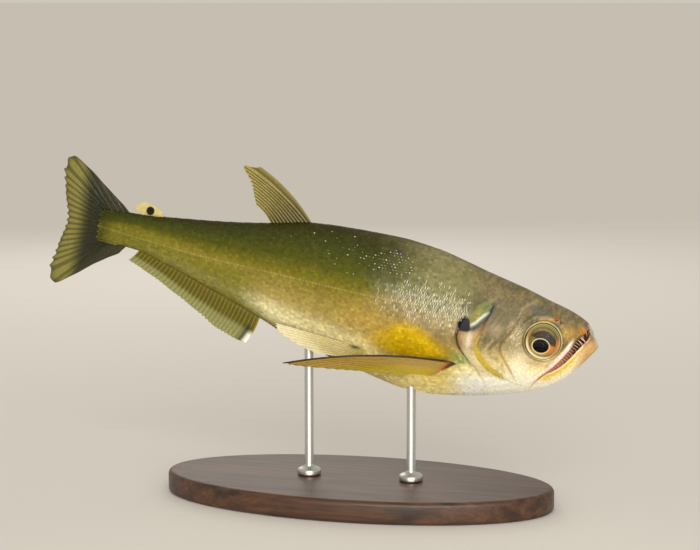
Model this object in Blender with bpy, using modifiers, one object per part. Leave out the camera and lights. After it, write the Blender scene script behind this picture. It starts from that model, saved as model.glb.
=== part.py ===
"""A payara, the long-fanged fish of the Amazon, at life size: 180 mm from snout to the end of its scales.
It swims nose-down over a small oval stand. Run it with: blender --background --python part.py
Fish sizes are in millimetres, as (s, h, y): s runs from the snout to the tail along the body's axis,
h is the height over that axis, and y is the distance to the fish's left.
"""

import math

import bmesh
import bpy
import numpy as np
from mathutils import Matrix, Vector

MM = 0.001
GAP = 0.3  # what two touching pieces keep between them

# The pose on the stand
NOSE_DOWN = math.radians(10.4)
SNOUT_X = 84.0
SNOUT_Z = 60.0

# The body: its back, its belly, its half width, and the height at which it is widest
BACK = (
    (-0.6, -1.1), (-0.1, -0.1), (0.5, 0.8), (1.8, 2.6), (2.9, 4.3), (3.8, 5.5), (4.4, 6.15), (5.2, 6.6),
    (6.7, 7.3), (9.5, 8.45), (14.0, 9.7), (18.0, 10.6), (27.0, 13.0), (38.0, 15.3), (48.0, 17.7),
    (60.0, 20.1), (73.0, 21.2), (90.0, 20.8), (105.6, 19.6), (122.0, 16.0), (136.0, 13.4),
    (150.0, 11.4), (165.0, 9.6), (174.0, 8.8), (180.0, 8.4),
)
BELLY = (
    (-0.6, -1.8), (-0.1, -2.7), (0.6, -3.8), (2.7, -7.1), (5.3, -11.0), (8.7, -14.9), (12.4, -18.0),
    (17.0, -20.8), (22.0, -22.9), (28.0, -25.0), (36.5, -27.4), (45.0, -29.3), (55.0, -30.8),
    (63.0, -30.9), (72.0, -29.7), (80.0, -28.1), (95.0, -25.3), (108.0, -22.0), (118.0, -18.4),
    (143.0, -10.8), (160.0, -6.0), (168.0, -4.2), (174.0, -3.9), (180.0, -4.6),
)
HALF_WIDTH = (
    (-0.6, 0.9), (-0.2, 1.8), (0.6, 2.7), (2.0, 3.6), (5.0, 5.2), (9.0, 6.8), (17.0, 8.5), (26.0, 9.6),
    (38.0, 10.2), (55.0, 10.4), (75.0, 10.0), (95.0, 8.8), (115.0, 7.2), (135.0, 5.3), (155.0, 3.6),
    (170.0, 2.6), (180.0, 1.3),
)
WIDEST_AT = (
    (-0.6, -1.4), (4.0, -1.0), (17.0, -2.5), (30.0, -4.0), (45.0, -4.0), (65.0, -3.0), (90.0, -0.5),
    (118.0, 1.0), (145.0, 2.0), (168.0, 3.0), (180.0, 2.0),
)
# How sharply a section narrows to the back and to the belly: 1 is an ellipse, 2 a straight-sided keel
BACK_KEEL = ((0.0, 1.0), (17.0, 1.05), (40.0, 1.1), (70.0, 1.2), (120.0, 1.15), (180.0, 1.0))
BELLY_KEEL = (
    (0.0, 1.0), (10.0, 1.1), (25.0, 1.35), (45.0, 1.5), (80.0, 1.6), (118.0, 1.5), (150.0, 1.2),
    (180.0, 1.0),
)
TAIL_END = 180.0
SNOUT_END = -0.6
BODY_RINGS = 52
BODY_SIDES = 36
FIRST_RING_SHARE = 0.12  # how much closer the rings lie at the snout than on average

# Where the body is parted, seen from the side
NECK_LINE = (
    (39.5, 30.0), (39.8, 14.0), (41.4, 7.0), (44.8, 0.8), (46.1, -5.3), (45.6, -8.2), (44.0, -10.8),
    (41.4, -13.6), (37.6, -16.8), (34.4, -20.4), (32.6, -25.0), (32.0, -40.0),
)
VENT_LINE = ((122.0, 30.0), (116.5, -30.0))
JAW_TOP = (
    (-3.0, 5.4), (1.0, 4.9), (2.4, 4.45), (3.1, 3.9), (3.1, 3.2), (2.7, 2.3), (2.9, 1.1), (3.8, -0.4),
    (4.9, -2.2), (6.7, -5.2), (9.2, -8.9), (12.2, -11.9), (15.0, -13.9), (18.2, -18.4), (20.2, -22.4),
    (22.0, -26.4), (27.0, -38.0),
)
JAW_GAPE = 13  # how many of those points lie along the open mouth
LIP_LINE = (
    (-1.0, 5.6), (2.4, 4.9), (3.5, 4.4), (3.9, 3.5), (4.4, 2.7), (5.1, 2.1), (5.9, 0.7), (6.7, -0.9),
    (8.4, -4.1), (10.7, -8.0), (12.8, -10.9), (15.0, -13.5),
)
LIP_FROM = 5  # the first of its points that carries a lip and fine teeth
MOUTH_CORE = (  # (s, half width) of what is left between the tooth rows
    (2.6, 0.8), (4.6, 1.4), (9.5, 4.2), (16.5, 5.5),
)
GILL_FRONT = (
    (41.0, 6.6), (36.5, 6.4), (31.5, 5.9), (28.8, 3.6), (29.5, -0.3), (30.9, -5.8), (29.9, -9.8),
    (27.6, -13.4), (26.6, -17.0), (29.5, -19.4), (36.5, -20.0),
)
GILL_BACK = ((60.0, -20.0), (60.0, 6.6))  # past the neck, which ends the cover
GILL_INNER_FACE = 6.0
GILL_RISE = 0.35

# The eyes
EYE_S, EYE_H = 17.1, -2.0
EYE_LONG, EYE_TALL = 6.0, 6.2  # half sizes across the opening
EYE_OUT, EYE_IN = 1.9, 3.0  # how far the eyeball bulges out of its widest plane and into the head
EYE_PLANE = 0.5  # how far under the cheek that plane lies
EYE_TURN, EYE_TILT = math.radians(8.7), math.radians(3.5)  # towards the snout and upwards
RIM_RADIUS, RIM_SUNK = 0.75, 0.35
LIP_RADIUS, LIP_SUNK, LIP_RISE = 0.85, 0.35, 0.7
LIP_FRONT_SUNK, LIP_END_SUNK = 0.7, 0.35
NOSTRILS = ((12.5, 5.4, 0.6), (14.2, 6.1, 0.7))  # s, h and radius
NOSTRIL_DEPTH = 0.9

# The teeth
UPPER_TEETH = 13
LOWER_TEETH = 7
TOOTH_RADIUS = 0.42
TOOTH_SUNK = 0.7
TOOTH_CLEAR = 0.45
TOOTH_INSET = 0.95
# Root, point and y from the middle
FRONT_TEETH = (((4.8, 4.0), (3.8, 2.2), 1.6), ((5.6, 3.1), (4.6, 1.3), 3.2))
FRONT_TOOTH_RADIUS = 0.42
FANG_RADIUS = 0.55
# Root, point and inset from the side
FANGS = (((2.7, -0.9), (4.8, 1.8), 1.1), ((4.2, -2.4), (5.5, -0.2), 1.0))
UPPER_ROW = (0.08, 0.94, 0.92)  # where the row starts and ends along its lip, and how far it spans the gap
LOWER_ROW = (0.15, 0.85, 0.45)

# The fins as (u, s, h) or (u, s, h, y), u running over the rays from the first to the last
DORSAL_ROOT = ((0.0, 105.4, 18.6), (1.0, 120.0, 15.4))
DORSAL_TIP = (
    (0.0, 127.6, 34.8), (0.12, 133.9, 33.9), (0.4, 131.0, 29.8), (0.7, 128.6, 25.4), (1.0, 127.0, 21.4),
)
ADIPOSE_ROOT = ((0.0, 159.6, 9.2), (1.0, 167.2, 8.4))
ADIPOSE_TIP = (
    (0.0, 160.8, 11.2), (0.35, 163.8, 12.8), (0.65, 167.4, 13.6), (0.85, 170.3, 12.4),
    (1.0, 171.0, 10.4),
)
ANAL_ROOT = ((0.0, 118.6, -17.2), (1.0, 166.8, -3.4))
ANAL_TIP = (
    (0.0, 122.2, -28.4), (0.12, 129.0, -26.9), (0.25, 134.7, -24.9), (0.4, 141.5, -21.2),
    (0.6, 151.2, -16.5), (0.8, 161.2, -11.9), (1.0, 170.6, -8.3),
)
CAUDAL_ROOT = (
    (0.0, 172.6, 8.2), (0.08, 177.0, 7.8), (0.14, 179.3, 7.0), (0.5, 179.3, 1.9), (0.86, 179.3, -3.6),
    (0.92, 177.0, -4.0), (1.0, 172.0, -3.2),
)
CAUDAL_TIP = (
    (0.0, 175.6, 10.9), (0.05, 183.0, 16.0), (0.10, 191.0, 21.6), (0.14, 197.6, 25.0),
    (0.2, 200.3, 19.8), (0.3, 198.8, 12.8), (0.5, 196.4, 1.2), (0.7, 198.8, -10.4), (0.8, 200.3, -17.4),
    (0.86, 197.6, -22.9), (0.90, 191.0, -18.6), (0.95, 182.6, -12.0), (1.0, 174.8, -6.9),
)
PECTORAL_ROOT = ((0.0, 43.9, -16.2), (1.0, 52.0, -22.8))
PECTORAL_TIP = (
    (0.0, 100.6, -25.8, 26.0), (0.15, 96.2, -26.2, 23.0), (0.35, 87.0, -25.9, 18.8),
    (0.6, 76.5, -25.1, 14.4), (0.8, 68.8, -24.7, 11.8), (1.0, 62.4, -24.6, 9.6),
)
PELVIC_ROOT = ((0.0, 75.0, -19.5), (1.0, 78.2, -23.4))
PELVIC_TIP = (
    (0.0, 110.8, -16.9, 7.4), (0.35, 109.0, -19.5, 7.6), (0.7, 103.0, -22.2, 7.4),
    (1.0, 94.5, -24.4, 6.6),
)
# Each fin's rays, the points along a ray, its thickness on a ray and between rays, and the share at the tip
DORSAL_MAKE = (12, 7, 1.1, 0.55, 0.6)
ADIPOSE_MAKE = (5, 5, 1.2, 1.0, 0.55)
ANAL_MAKE = (34, 4, 1.0, 0.6, 0.65)
CAUDAL_MAKE = (25, 7, 1.2, 0.6, 0.5)
PECTORAL_MAKE = (13, 9, 1.2, 0.6, 0.6)
PELVIC_MAKE = (9, 7, 1.1, 0.6, 0.6)
# How far each fin bows out of its flat shape, as (s, h) or (s, h, y)
DORSAL_BOW, ADIPOSE_BOW, ANAL_BOW, CAUDAL_BOW = (-0.9, 1.3), (0.0, 0.3), (-0.5, -0.4), (0.0, 0.0)
PECTORAL_BOW, PELVIC_BOW = (0.0, 3.2, 2.2), (0.0, 0.4, 1.0)
PECTORAL_NOTCH, PELVIC_NOTCH = 0.012, 0.015  # how deep the edge dips between two rays, as a share of the ray
ROOT_SUNK = 0.8  # how far a paired fin's rays start inside the body, before the body's shape is cut from them

# The stand
BASE_LONG, BASE_WIDE, BASE_THICK, BASE_ROUND = 140.0, 66.0, 8.0, 1.6
ROD_RADIUS, ROD_DEEP = 1.6, 4.0
FOOT_RADIUS, FOOT_HIGH = 4.2, 2.4
ROD_AT = {"stand_rod_front": 60.0, "stand_rod_rear": 99.0}


def smooth(table, at, column=1):
    """A monotone cubic through a column of a table, read at one place or many."""
    x = np.array([row[0] for row in table], float)
    y = np.array([row[column] for row in table], float)
    step = np.diff(x)
    slope = np.diff(y) / step
    bend = np.zeros(len(x))
    same_way = slope[:-1] * slope[1:] > 0
    left, right = 2 * step[1:] + step[:-1], step[1:] + 2 * step[:-1]
    before, after = np.where(same_way, slope[:-1], 1), np.where(same_way, slope[1:], 1)
    mean = (left + right) / (left / before + right / after)
    bend[1:-1] = np.where(same_way, mean, 0)
    bend[0], bend[-1] = slope[0], slope[-1]
    at = np.clip(np.asarray(at, float), x[0], x[-1])
    i = np.clip(np.searchsorted(x, at, side="right") - 1, 0, len(step) - 1)
    t = (at - x[i]) / step[i]
    rise = (3 - 2 * t) * t * t
    return (
        y[i] + (y[i + 1] - y[i]) * rise
        + step[i] * (bend[i] * t * (1 - t) ** 2 - bend[i + 1] * t * t * (1 - t))
    )


def side(s, h):
    """Half the body's width at a height, in mm."""
    middle = smooth(WIDEST_AT, s)
    above = np.asarray(h) >= middle
    reach = np.where(above, smooth(BACK, s) - middle, middle - smooth(BELLY, s))
    keel = np.where(above, smooth(BACK_KEEL, s), smooth(BELLY_KEEL, s))
    share = np.clip(np.abs(h - middle) / reach, 0, 1)
    return smooth(HALF_WIDTH, s) * (1 - share**2) ** (keel / 2)


def curve_through(points, per=3):
    """More points along a line, on a Catmull-Rom curve through the given ones."""
    line = np.array([points[0], *points, points[-1]], float)
    made = []
    for a, b, c, d in zip(line, line[1:], line[2:], line[3:]):
        for t in np.arange(per) / per:
            bend = (2 * a - 5 * b + 4 * c - d) * t**2 + (3 * b - a - 3 * c + d) * t**3
            made.append(tuple(b + ((c - a) * t + bend) / 2))
    return [*made, tuple(line[-1])]


def outward(s, h):
    """The unit normal of the body's left side, as (s, h, y)."""
    d = 0.2
    along = (side(s + d, h) - side(s - d, h)) / (2 * d)
    up = (side(s, h + d) - side(s, h - d)) / (2 * d)
    n = np.array([-along, -up, 1.0])
    return n / np.linalg.norm(n)


def spot(s, h, y):
    """Fish millimetres as a point in the fish's own frame in metres: x towards the snout, z up."""
    return Vector((-s * MM, y * MM, h * MM))


def material(name, colour, roughness=0.5, metallic=0.0):
    made = bpy.data.materials.new(name)
    made.use_nodes = True
    shader = made.node_tree.nodes["Principled BSDF"]
    shader.inputs["Base Color"].default_value = (*colour, 1.0)
    shader.inputs["Roughness"].default_value = roughness
    shader.inputs["Metallic"].default_value = metallic
    return made


def add_object(name, mesh, group, parent=None):
    made = bpy.data.objects.new(name, mesh)
    group.objects.link(made)
    made.parent = parent
    return made


def as_cutter(thing):
    thing.hide_render = True
    thing.display_type = "WIRE"
    return thing


def freeze(thing):
    """Replaces an object's mesh by what its modifiers make of it."""
    graph = bpy.context.evaluated_depsgraph_get()
    mesh = bpy.data.meshes.new_from_object(thing.evaluated_get(graph))
    thing.modifiers.clear()
    thing.data = mesh


def boolean(thing, tool, operation):
    """Cuts, joins or intersects with one object or a list of objects, applies it, and removes the tools."""
    tools = list(tool) if isinstance(tool, (list, tuple)) else [tool]
    modifier = thing.modifiers.new(operation, "BOOLEAN")
    modifier.operation = operation
    modifier.solver = "MANIFOLD"
    held = None
    if len(tools) == 1:
        modifier.object = tools[0]
    else:
        held = bpy.data.collections.new("tools")
        bpy.context.scene.collection.children.link(held)
        for each in tools:
            held.objects.link(each)
        modifier.operand_type = "COLLECTION"
        modifier.collection = held
    freeze(thing)
    for each in tools:
        bpy.data.objects.remove(each)
    if held:
        bpy.data.collections.remove(held)
    keep_largest(thing)


def keep_largest(thing):
    """Leaves only the closed surface that holds the most."""
    bm = bmesh.new()
    bm.from_mesh(thing.data)
    unseen, islands = set(bm.verts), []
    while unseen:
        island, edge_of = set(), [unseen.pop()]
        while edge_of:
            vert = edge_of.pop()
            island.add(vert)
            for edge in vert.link_edges:
                other = edge.other_vert(vert)
                if other in unseen:
                    unseen.remove(other)
                    edge_of.append(other)
        islands.append(island)

    def box_size(island):
        corners = np.array([vert.co for vert in island])
        return float(np.prod(corners.max(0) - corners.min(0)))

    islands.sort(key=box_size)
    for island in islands[:-1]:
        bmesh.ops.delete(bm, geom=list(island), context="VERTS")
    bm.to_mesh(thing.data)
    bm.free()


def copy_of(thing, name, group):
    made = thing.copy()
    made.data = thing.data.copy()
    made.name = name
    group.objects.link(made)
    return made


def ring_places():
    """Where the body's rings lie along it: close at the snout, wider apart towards the tail."""
    t = np.linspace(0, 1, BODY_RINGS)
    return SNOUT_END + (TAIL_END - SNOUT_END) * (FIRST_RING_SHARE * t + (1 - FIRST_RING_SHARE) * t * t)


def body_loft(name, grown, group, parent):
    """The whole body as a closed loft of keeled ovals, grown by a few tenths to cut a fin's root."""
    bm = bmesh.new()
    rings = []
    angles = np.linspace(0, 2 * math.pi, BODY_SIDES, endpoint=False)
    for s in ring_places():
        middle, half = float(smooth(WIDEST_AT, s)), float(smooth(HALF_WIDTH, s))
        top, low = float(smooth(BACK, s)) + grown, float(smooth(BELLY, s)) - grown
        away = s + grown * (2 * (s - SNOUT_END) / (TAIL_END - SNOUT_END) - 1)
        ring = []
        for angle in angles:
            above = math.sin(angle) >= 0
            keel = float(smooth(BACK_KEEL if above else BELLY_KEEL, s))
            reach = top - middle if above else middle - low
            cosine = math.cos(angle)
            y = math.copysign(abs(cosine) ** keel * (half + grown), cosine)
            ring.append(bm.verts.new(spot(away, middle + reach * math.sin(angle), y)))
        rings.append(ring)
    for near, far in zip(rings, rings[1:]):
        for i in range(BODY_SIDES):
            j = (i + 1) % BODY_SIDES
            bm.faces.new((near[i], near[j], far[j], far[i]))
    bm.faces.new(rings[0][::-1])
    bm.faces.new(rings[-1])
    bmesh.ops.recalc_face_normals(bm, faces=bm.faces)
    mesh = bpy.data.meshes.new(name)
    bm.to_mesh(mesh)
    bm.free()
    return add_object(name, mesh, group, parent)


def grown_outline(outline, by):
    """A closed outline moved outwards by a gap, whichever way it runs."""
    points = np.array(outline, float)
    after, before = np.roll(points, -1, 0), np.roll(points, 1, 0)
    turn = np.sum(points[:, 0] * after[:, 1] - after[:, 0] * points[:, 1])
    edge_in, edge_out = points - before, after - points
    edge_in /= np.linalg.norm(edge_in, axis=1)[:, None]
    edge_out /= np.linalg.norm(edge_out, axis=1)[:, None]
    normal = np.stack([edge_in[:, 1] + edge_out[:, 1], -edge_in[:, 0] - edge_out[:, 0]], 1)
    normal *= math.copysign(1, turn)
    length = np.linalg.norm(normal, axis=1)
    return [tuple(p) for p in points + normal / length[:, None] * (by * 2 / length)[:, None]]


def prism(name, outline, low, high, group, parent, place=lambda a, b, c: spot(a, b, c)):
    """A flat outline drawn out from low to high: across the fish, or as place says."""
    bm = bmesh.new()
    verts = [bm.verts.new(place(a, b, low)) for a, b in outline]
    face = bm.faces.new(verts)
    more = bmesh.ops.extrude_face_region(bm, geom=[face])["geom"]
    moved = [v for v in more if isinstance(v, bmesh.types.BMVert)]
    shift = place(0, 0, high) - place(0, 0, low)
    bmesh.ops.translate(bm, verts=moved, vec=shift)
    bmesh.ops.recalc_face_normals(bm, faces=bm.faces)
    mesh = bpy.data.meshes.new(name)
    bm.to_mesh(mesh)
    bm.free()
    return as_cutter(add_object(name, mesh, group, parent))


def from_primitive(name, group, parent, shade=False):
    """Names the primitive that was just added and puts it in its group."""
    made = bpy.context.object
    made.name = made.data.name = name
    for holder in list(made.users_collection):
        holder.objects.unlink(made)
    group.objects.link(made)
    made.parent = parent
    if shade:
        made.data.shade_smooth()
    return made


def eye_shape(name, hand, grown, group, parent):
    """An eyeball, flattened from side to side and turned with the cheek."""
    bpy.ops.mesh.primitive_uv_sphere_add(segments=22, ring_count=10, radius=1.0)
    ball = from_primitive(name, group, parent, shade=True)
    for vert in ball.data.vertices:
        deep = EYE_OUT if vert.co.z > 0 else EYE_IN
        at = vert.co
        vert.co = Vector((at.x * (EYE_LONG + grown), at.y * (EYE_TALL + grown), at.z * (deep + grown)))
    facing = Matrix.Rotation(math.radians(90) - EYE_TILT, 4, "X")
    place = Matrix.Translation(spot(EYE_S, EYE_H, -float(side(EYE_S, EYE_H)) + EYE_PLANE))
    ball.data.transform(place @ Matrix.Rotation(EYE_TURN, 4, "Z") @ facing @ Matrix.Scale(MM, 4))
    if hand > 0:
        mirror(ball)
    return ball


def mirror(thing):
    """Turns a piece of the right side into one of the left side."""
    thing.data.transform(Matrix.Scale(-1, 4, (0, 1, 0)))
    thing.data.flip_normals()


def tube(name, points, radii, closed, group, parent):
    """A closed tube of six sides through points in fish millimetres, with a radius in mm at each."""
    curve = bpy.data.curves.new(name, "CURVE")
    curve.dimensions = "3D"
    curve.bevel_depth = MM
    curve.bevel_resolution = 1
    curve.use_fill_caps = True
    line = curve.splines.new("POLY")
    line.points.add(len(points) - 1)
    line.use_cyclic_u = closed
    for point, place, radius in zip(line.points, points, radii):
        point.co = (*spot(*place), 1.0)
        point.radius = radius
    drawn = add_object(name, curve, group, parent)
    graph = bpy.context.evaluated_depsgraph_get()
    mesh = bpy.data.meshes.new_from_object(drawn.evaluated_get(graph))
    bpy.data.objects.remove(drawn)
    bm = bmesh.new()
    bm.from_mesh(mesh)
    bmesh.ops.remove_doubles(bm, verts=bm.verts, dist=1e-6)
    bmesh.ops.recalc_face_normals(bm, faces=bm.faces)
    bm.to_mesh(mesh)
    bm.free()
    return add_object(name, mesh, group, parent)


def lip(name, line, rise, group, parent):
    """A ridge on the skin along a jaw's edge, from one mouth corner round the front to the other.
    It lies deeper at the front, where it turns, and fades out at the corners."""
    inside = [(s, h + rise) for s, h in line if float(side(s, h + rise)) > 0.9]
    right = []
    for i, (s, h) in enumerate(inside):
        back = i / (len(inside) - 1)
        deeper = LIP_FRONT_SUNK * (1 - back) ** 4
        right.append((s + deeper, h, LIP_SUNK + LIP_END_SUNK * back**5 - float(side(s, h))))
    path = [*right[::-1], *[(s, h, -y) for s, h, y in right]]
    along = np.linspace(-1, 1, len(path))
    return tube(name, path, LIP_RADIUS * (1 - 0.3 * along**2), False, group, parent)


def eye_rim(hand, group, parent):
    """A raised ring on the skin around an eye."""
    path = []
    for angle in np.linspace(0, 2 * math.pi, 28, endpoint=False):
        s, h = EYE_S + EYE_LONG * math.cos(angle), EYE_H + EYE_TALL * math.sin(angle)
        path.append((s, h, hand * (float(side(s, h)) - RIM_SUNK)))
    return tube("eye_rim", path, [RIM_RADIUS] * len(path), True, group, parent)


def tooth(root, point, radius, group, parent):
    """A slender cone from its sunk root to its point, both in fish millimetres."""
    start, end = spot(*root), spot(*point)
    length = (end - start).length
    bpy.ops.mesh.primitive_cone_add(vertices=7, radius1=radius * MM, radius2=0.07 * MM, depth=length)
    cone = from_primitive("tooth", group, parent)
    turn = (end - start).to_track_quat("Z", "Y").to_matrix().to_4x4()
    cone.data.transform(Matrix.Translation((start + end) / 2) @ turn)
    return cone


def on_line(line, share):
    """A point and the unit direction at a share of a polyline's length."""
    points = np.array(line, float)
    lengths = np.linalg.norm(np.diff(points, axis=0), axis=1)
    reached = np.concatenate([[0], np.cumsum(lengths)]) / lengths.sum()
    at = np.array([np.interp(share, reached, points[:, 0]), np.interp(share, reached, points[:, 1])])
    i = min(int(np.searchsorted(reached, share, side="right")) - 1, len(lengths) - 1)
    return at, (points[i + 1] - points[i]) / lengths[i]


def across_gap(at, direction, line):
    """How far a line in the side view lies from a point, looking along a direction."""
    best = 99.0
    for a, b in zip(np.array(line[:-1], float), np.array(line[1:], float)):
        m = np.array([direction, a - b]).T
        if abs(np.linalg.det(m)) < 1e-9:
            continue
        t, u = np.linalg.solve(m, a - at)
        if t > 0 and 0 <= u <= 1:
            best = min(best, t)
    return best


def tooth_row(line, other, count, first, last, reach, towards, group, parent):
    """A row of teeth on each side of a jaw, each as long as the gap that it stands in allows."""
    made = []
    for hand in (-1, 1):
        for i in range(count):
            at, along = on_line(line, first + (last - first) * i / (count - 1))
            across = np.array([along[1], -along[0]]) * towards
            gap = across_gap(at, across, other)
            vary = 1 + 0.12 * math.sin(2.4 * i + hand)
            length = min(reach * vary, 0.95 * reach) * (gap - TOOTH_CLEAR)
            y = hand * (float(side(at[0], at[1])) - TOOTH_INSET)
            root, point = at - across * TOOTH_SUNK, at + across * length
            radius = TOOTH_RADIUS * (0.75 + 0.25 * math.cos(2.1 * i))
            made.append(tooth((*root, y), (*point, y), radius, group, parent))
    return made


def fin_sheet(
    name, place, rays, rows, ray_thick, film_thick, tip_share, group, parent, notch=0.03, split=True
):
    """A fin: a grid over its rays and along them, thicker on every ray, so that the rays stand as ridges.
    place(u, v) gives a point for u over the rays and v from root to tip, both from 0 to 1."""
    columns = 2 * rays - 1
    bpy.ops.mesh.primitive_grid_add(x_subdivisions=columns - 1, y_subdivisions=rows - 1, size=2)
    sheet = from_primitive(name, group, parent, shade=True)
    weights = sheet.vertex_groups.new(name="thickness")
    for vert in sheet.data.vertices:
        u, v = (vert.co.x + 1) / 2, (vert.co.y + 1) / 2
        on_ray = round(u * (columns - 1)) % 2 == 0
        thick = (ray_thick if on_ray or not split else film_thick) * (1 - (1 - tip_share) * v)
        weights.add([vert.index], thick / ray_thick, "REPLACE")
        reach = v if on_ray or not split else v * (1 - notch * v**3)
        vert.co = place(u, reach)
    halves = sheet.modifiers.new("triangles alike on both faces", "TRIANGULATE")
    halves.quad_method = "FIXED"
    solid = sheet.modifiers.new("thickness", "SOLIDIFY")
    solid.thickness = ray_thick * MM
    solid.offset = 0
    solid.vertex_group = "thickness"
    solid.thickness_vertex_group = 0
    freeze(sheet)
    return sheet


def flat_fin(root, tip, bow):
    """Where a fin in the midplane lies: rays from a root line to a tip line, bowed by bow (s, h) in mm."""

    def place(u, v):
        a = np.array([smooth(root, u, 1), smooth(root, u, 2)])
        b = np.array([smooth(tip, u, 1), smooth(tip, u, 2)])
        at = a + (b - a) * v + np.array(bow) * (1 - 0.6 * u) * 4 * v * (1 - v)
        return spot(at[0], at[1], 0.0)

    return place


def paired_fin(root, tip, bow, hand):
    """The same for a fin that stands out from one side; bow is (s, h, y) with y outwards."""

    def place(u, v):
        s, h = float(smooth(root, u, 1)), float(smooth(root, u, 2))
        a = np.array([s, h, float(side(s, h)) - ROOT_SUNK])
        b = np.array([smooth(tip, u, 1), smooth(tip, u, 2), smooth(tip, u, 3)])
        at = a + (b - a) * v + np.array(bow) * (1 - 0.75 * u) * 4 * v * (1 - v)
        return spot(at[0], at[1], hand * at[2])

    return place


def build_body(whole, group, cutters, fish, finish):
    """Head, lower jaw, gill covers, trunk and tail, parted from one body."""
    neck, jaw_top = curve_through(NECK_LINE, 2), curve_through(JAW_TOP, 2)
    lip_line = curve_through(LIP_LINE, 2)
    head_side = [*neck, (-20.0, -40.0), (-20.0, 30.0)]
    wide = 30.0

    trunk = copy_of(whole, "trunk", group)
    before_neck = prism("before_neck", grown_outline(head_side, GAP), -wide, wide, cutters, fish)
    boolean(trunk, before_neck, "DIFFERENCE")
    to_vent = [(0.0, 30.0), (0.0, -30.0), *VENT_LINE[::-1]]
    tail = copy_of(trunk, "tail", group)
    boolean(tail, prism("before_vent", grown_outline(to_vent, GAP), -wide, wide, cutters, fish), "DIFFERENCE")
    boolean(trunk, prism("to_vent", to_vent, -wide, wide, cutters, fish), "INTERSECT")

    head = copy_of(whole, "head", group)
    open_jaw = jaw_top[: 2 * (JAW_GAPE - 1) + 1]
    ridges = [
        lip("upper_lip", lip_line[2 * (LIP_FROM - 1) :], LIP_RISE, cutters, fish),
        lip("lower_lip", open_jaw[2 * (LIP_FROM + 1) :], -LIP_RISE, cutters, fish),
    ]
    boolean(head, [*ridges, eye_rim(-1, cutters, fish), eye_rim(1, cutters, fish)], "UNION")
    boolean(head, prism("to_neck", head_side, -wide, wide, cutters, fish), "INTERSECT")
    jaw_side = [*jaw_top, (-12.0, -40.0), (-12.0, 5.4)]
    lower_jaw = copy_of(head, "lower_jaw", group)
    boolean(lower_jaw, prism("jaw", jaw_side, -wide, wide, cutters, fish), "INTERSECT")
    boolean(head, prism("jaw_room", grown_outline(jaw_side, GAP), -wide, wide, cutters, fish), "DIFFERENCE")

    slot = [*open_jaw, *lip_line[::-1]]
    channel = prism("mouth_slot", slot, -wide, wide, cutters, fish)
    core = [(s, y) for s, y in MOUTH_CORE] + [(s, -y) for s, y in MOUTH_CORE[::-1]]
    inner = prism("mouth_core", core, -60.0, 60.0, cutters, fish, lambda a, b, c: spot(a, c, b))
    boolean(channel, inner, "DIFFERENCE")
    boolean(head, as_cutter(channel), "DIFFERENCE")

    cover_side = [*curve_through(GILL_FRONT, 2), *GILL_BACK]
    for hand, word in ((-1, "right"), (1, "left")):
        inner, outer = sorted((hand * GILL_INNER_FACE, hand * wide))
        cover = copy_of(head, "gill_cover_" + word, group)
        boolean(cover, prism("gill", cover_side, inner, outer, cutters, fish), "INTERSECT")
        cover.data.transform(Matrix.Translation((0, hand * GILL_RISE * MM, 0)))
        inner, outer = sorted((hand * (GILL_INNER_FACE - GAP + GILL_RISE), hand * wide))
        room = prism("gill_room", grown_outline(cover_side, GAP), inner, outer, cutters, fish)
        boolean(head, room, "DIFFERENCE")
        cover.data.materials.clear()
        cover.data.materials.append(finish["cheek"])

        boolean(head, as_cutter(eye_shape("socket", hand, GAP, cutters, fish)), "DIFFERENCE")
        for s, h, radius in NOSTRILS:
            boolean(head, nostril(s, h, radius, hand, cutters, fish), "DIFFERENCE")
    for thing, name in ((head, "back"), (trunk, "flank"), (tail, "flank"), (lower_jaw, "jaw")):
        thing.data.materials.clear()
        thing.data.materials.append(finish[name])
    return head, lower_jaw, trunk, tail


def nostril(s, h, radius, hand, group, parent):
    """A short round pit, square to the skin."""
    bpy.ops.mesh.primitive_cylinder_add(vertices=12, radius=radius * MM, depth=2 * NOSTRIL_DEPTH * MM)
    pit = from_primitive("nostril", group, parent)
    n = outward(s, h)
    direction = spot(n[0], n[1], hand * n[2])
    turn = direction.to_track_quat("Z", "Y").to_matrix().to_4x4()
    pit.data.transform(Matrix.Translation(spot(s, h, hand * float(side(s, h)))) @ turn)
    return as_cutter(pit)


def build_teeth(head, lower_jaw, cutters, fish):
    """The fine upper row with its larger front teeth, and the lower row with its fangs."""
    upper = tooth_row(LIP_LINE[LIP_FROM:], JAW_TOP, UPPER_TEETH, *UPPER_ROW, 1, cutters, fish)
    lower = tooth_row(JAW_TOP[JAW_GAPE - 6 : JAW_GAPE], LIP_LINE, LOWER_TEETH, *LOWER_ROW, -1, cutters, fish)
    for hand in (-1, 1):
        for root, point, y in FRONT_TEETH:
            upper.append(tooth((*root, hand * y), (*point, hand * y), FRONT_TOOTH_RADIUS, cutters, fish))
        for root, point, inset in FANGS:
            y = hand * (float(side(*root)) - inset)
            lower.append(tooth((*root, y), (*point, y), FANG_RADIUS, cutters, fish))
    boolean(head, upper, "UNION")
    boolean(lower_jaw, lower, "UNION")


def build_eyes(group, fish, finish):
    for hand, word in ((-1, "right"), (1, "left")):
        ball = eye_shape("eye_" + word, hand, 0.0, group, fish)
        ball.data.materials.append(finish["eye"])


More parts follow.
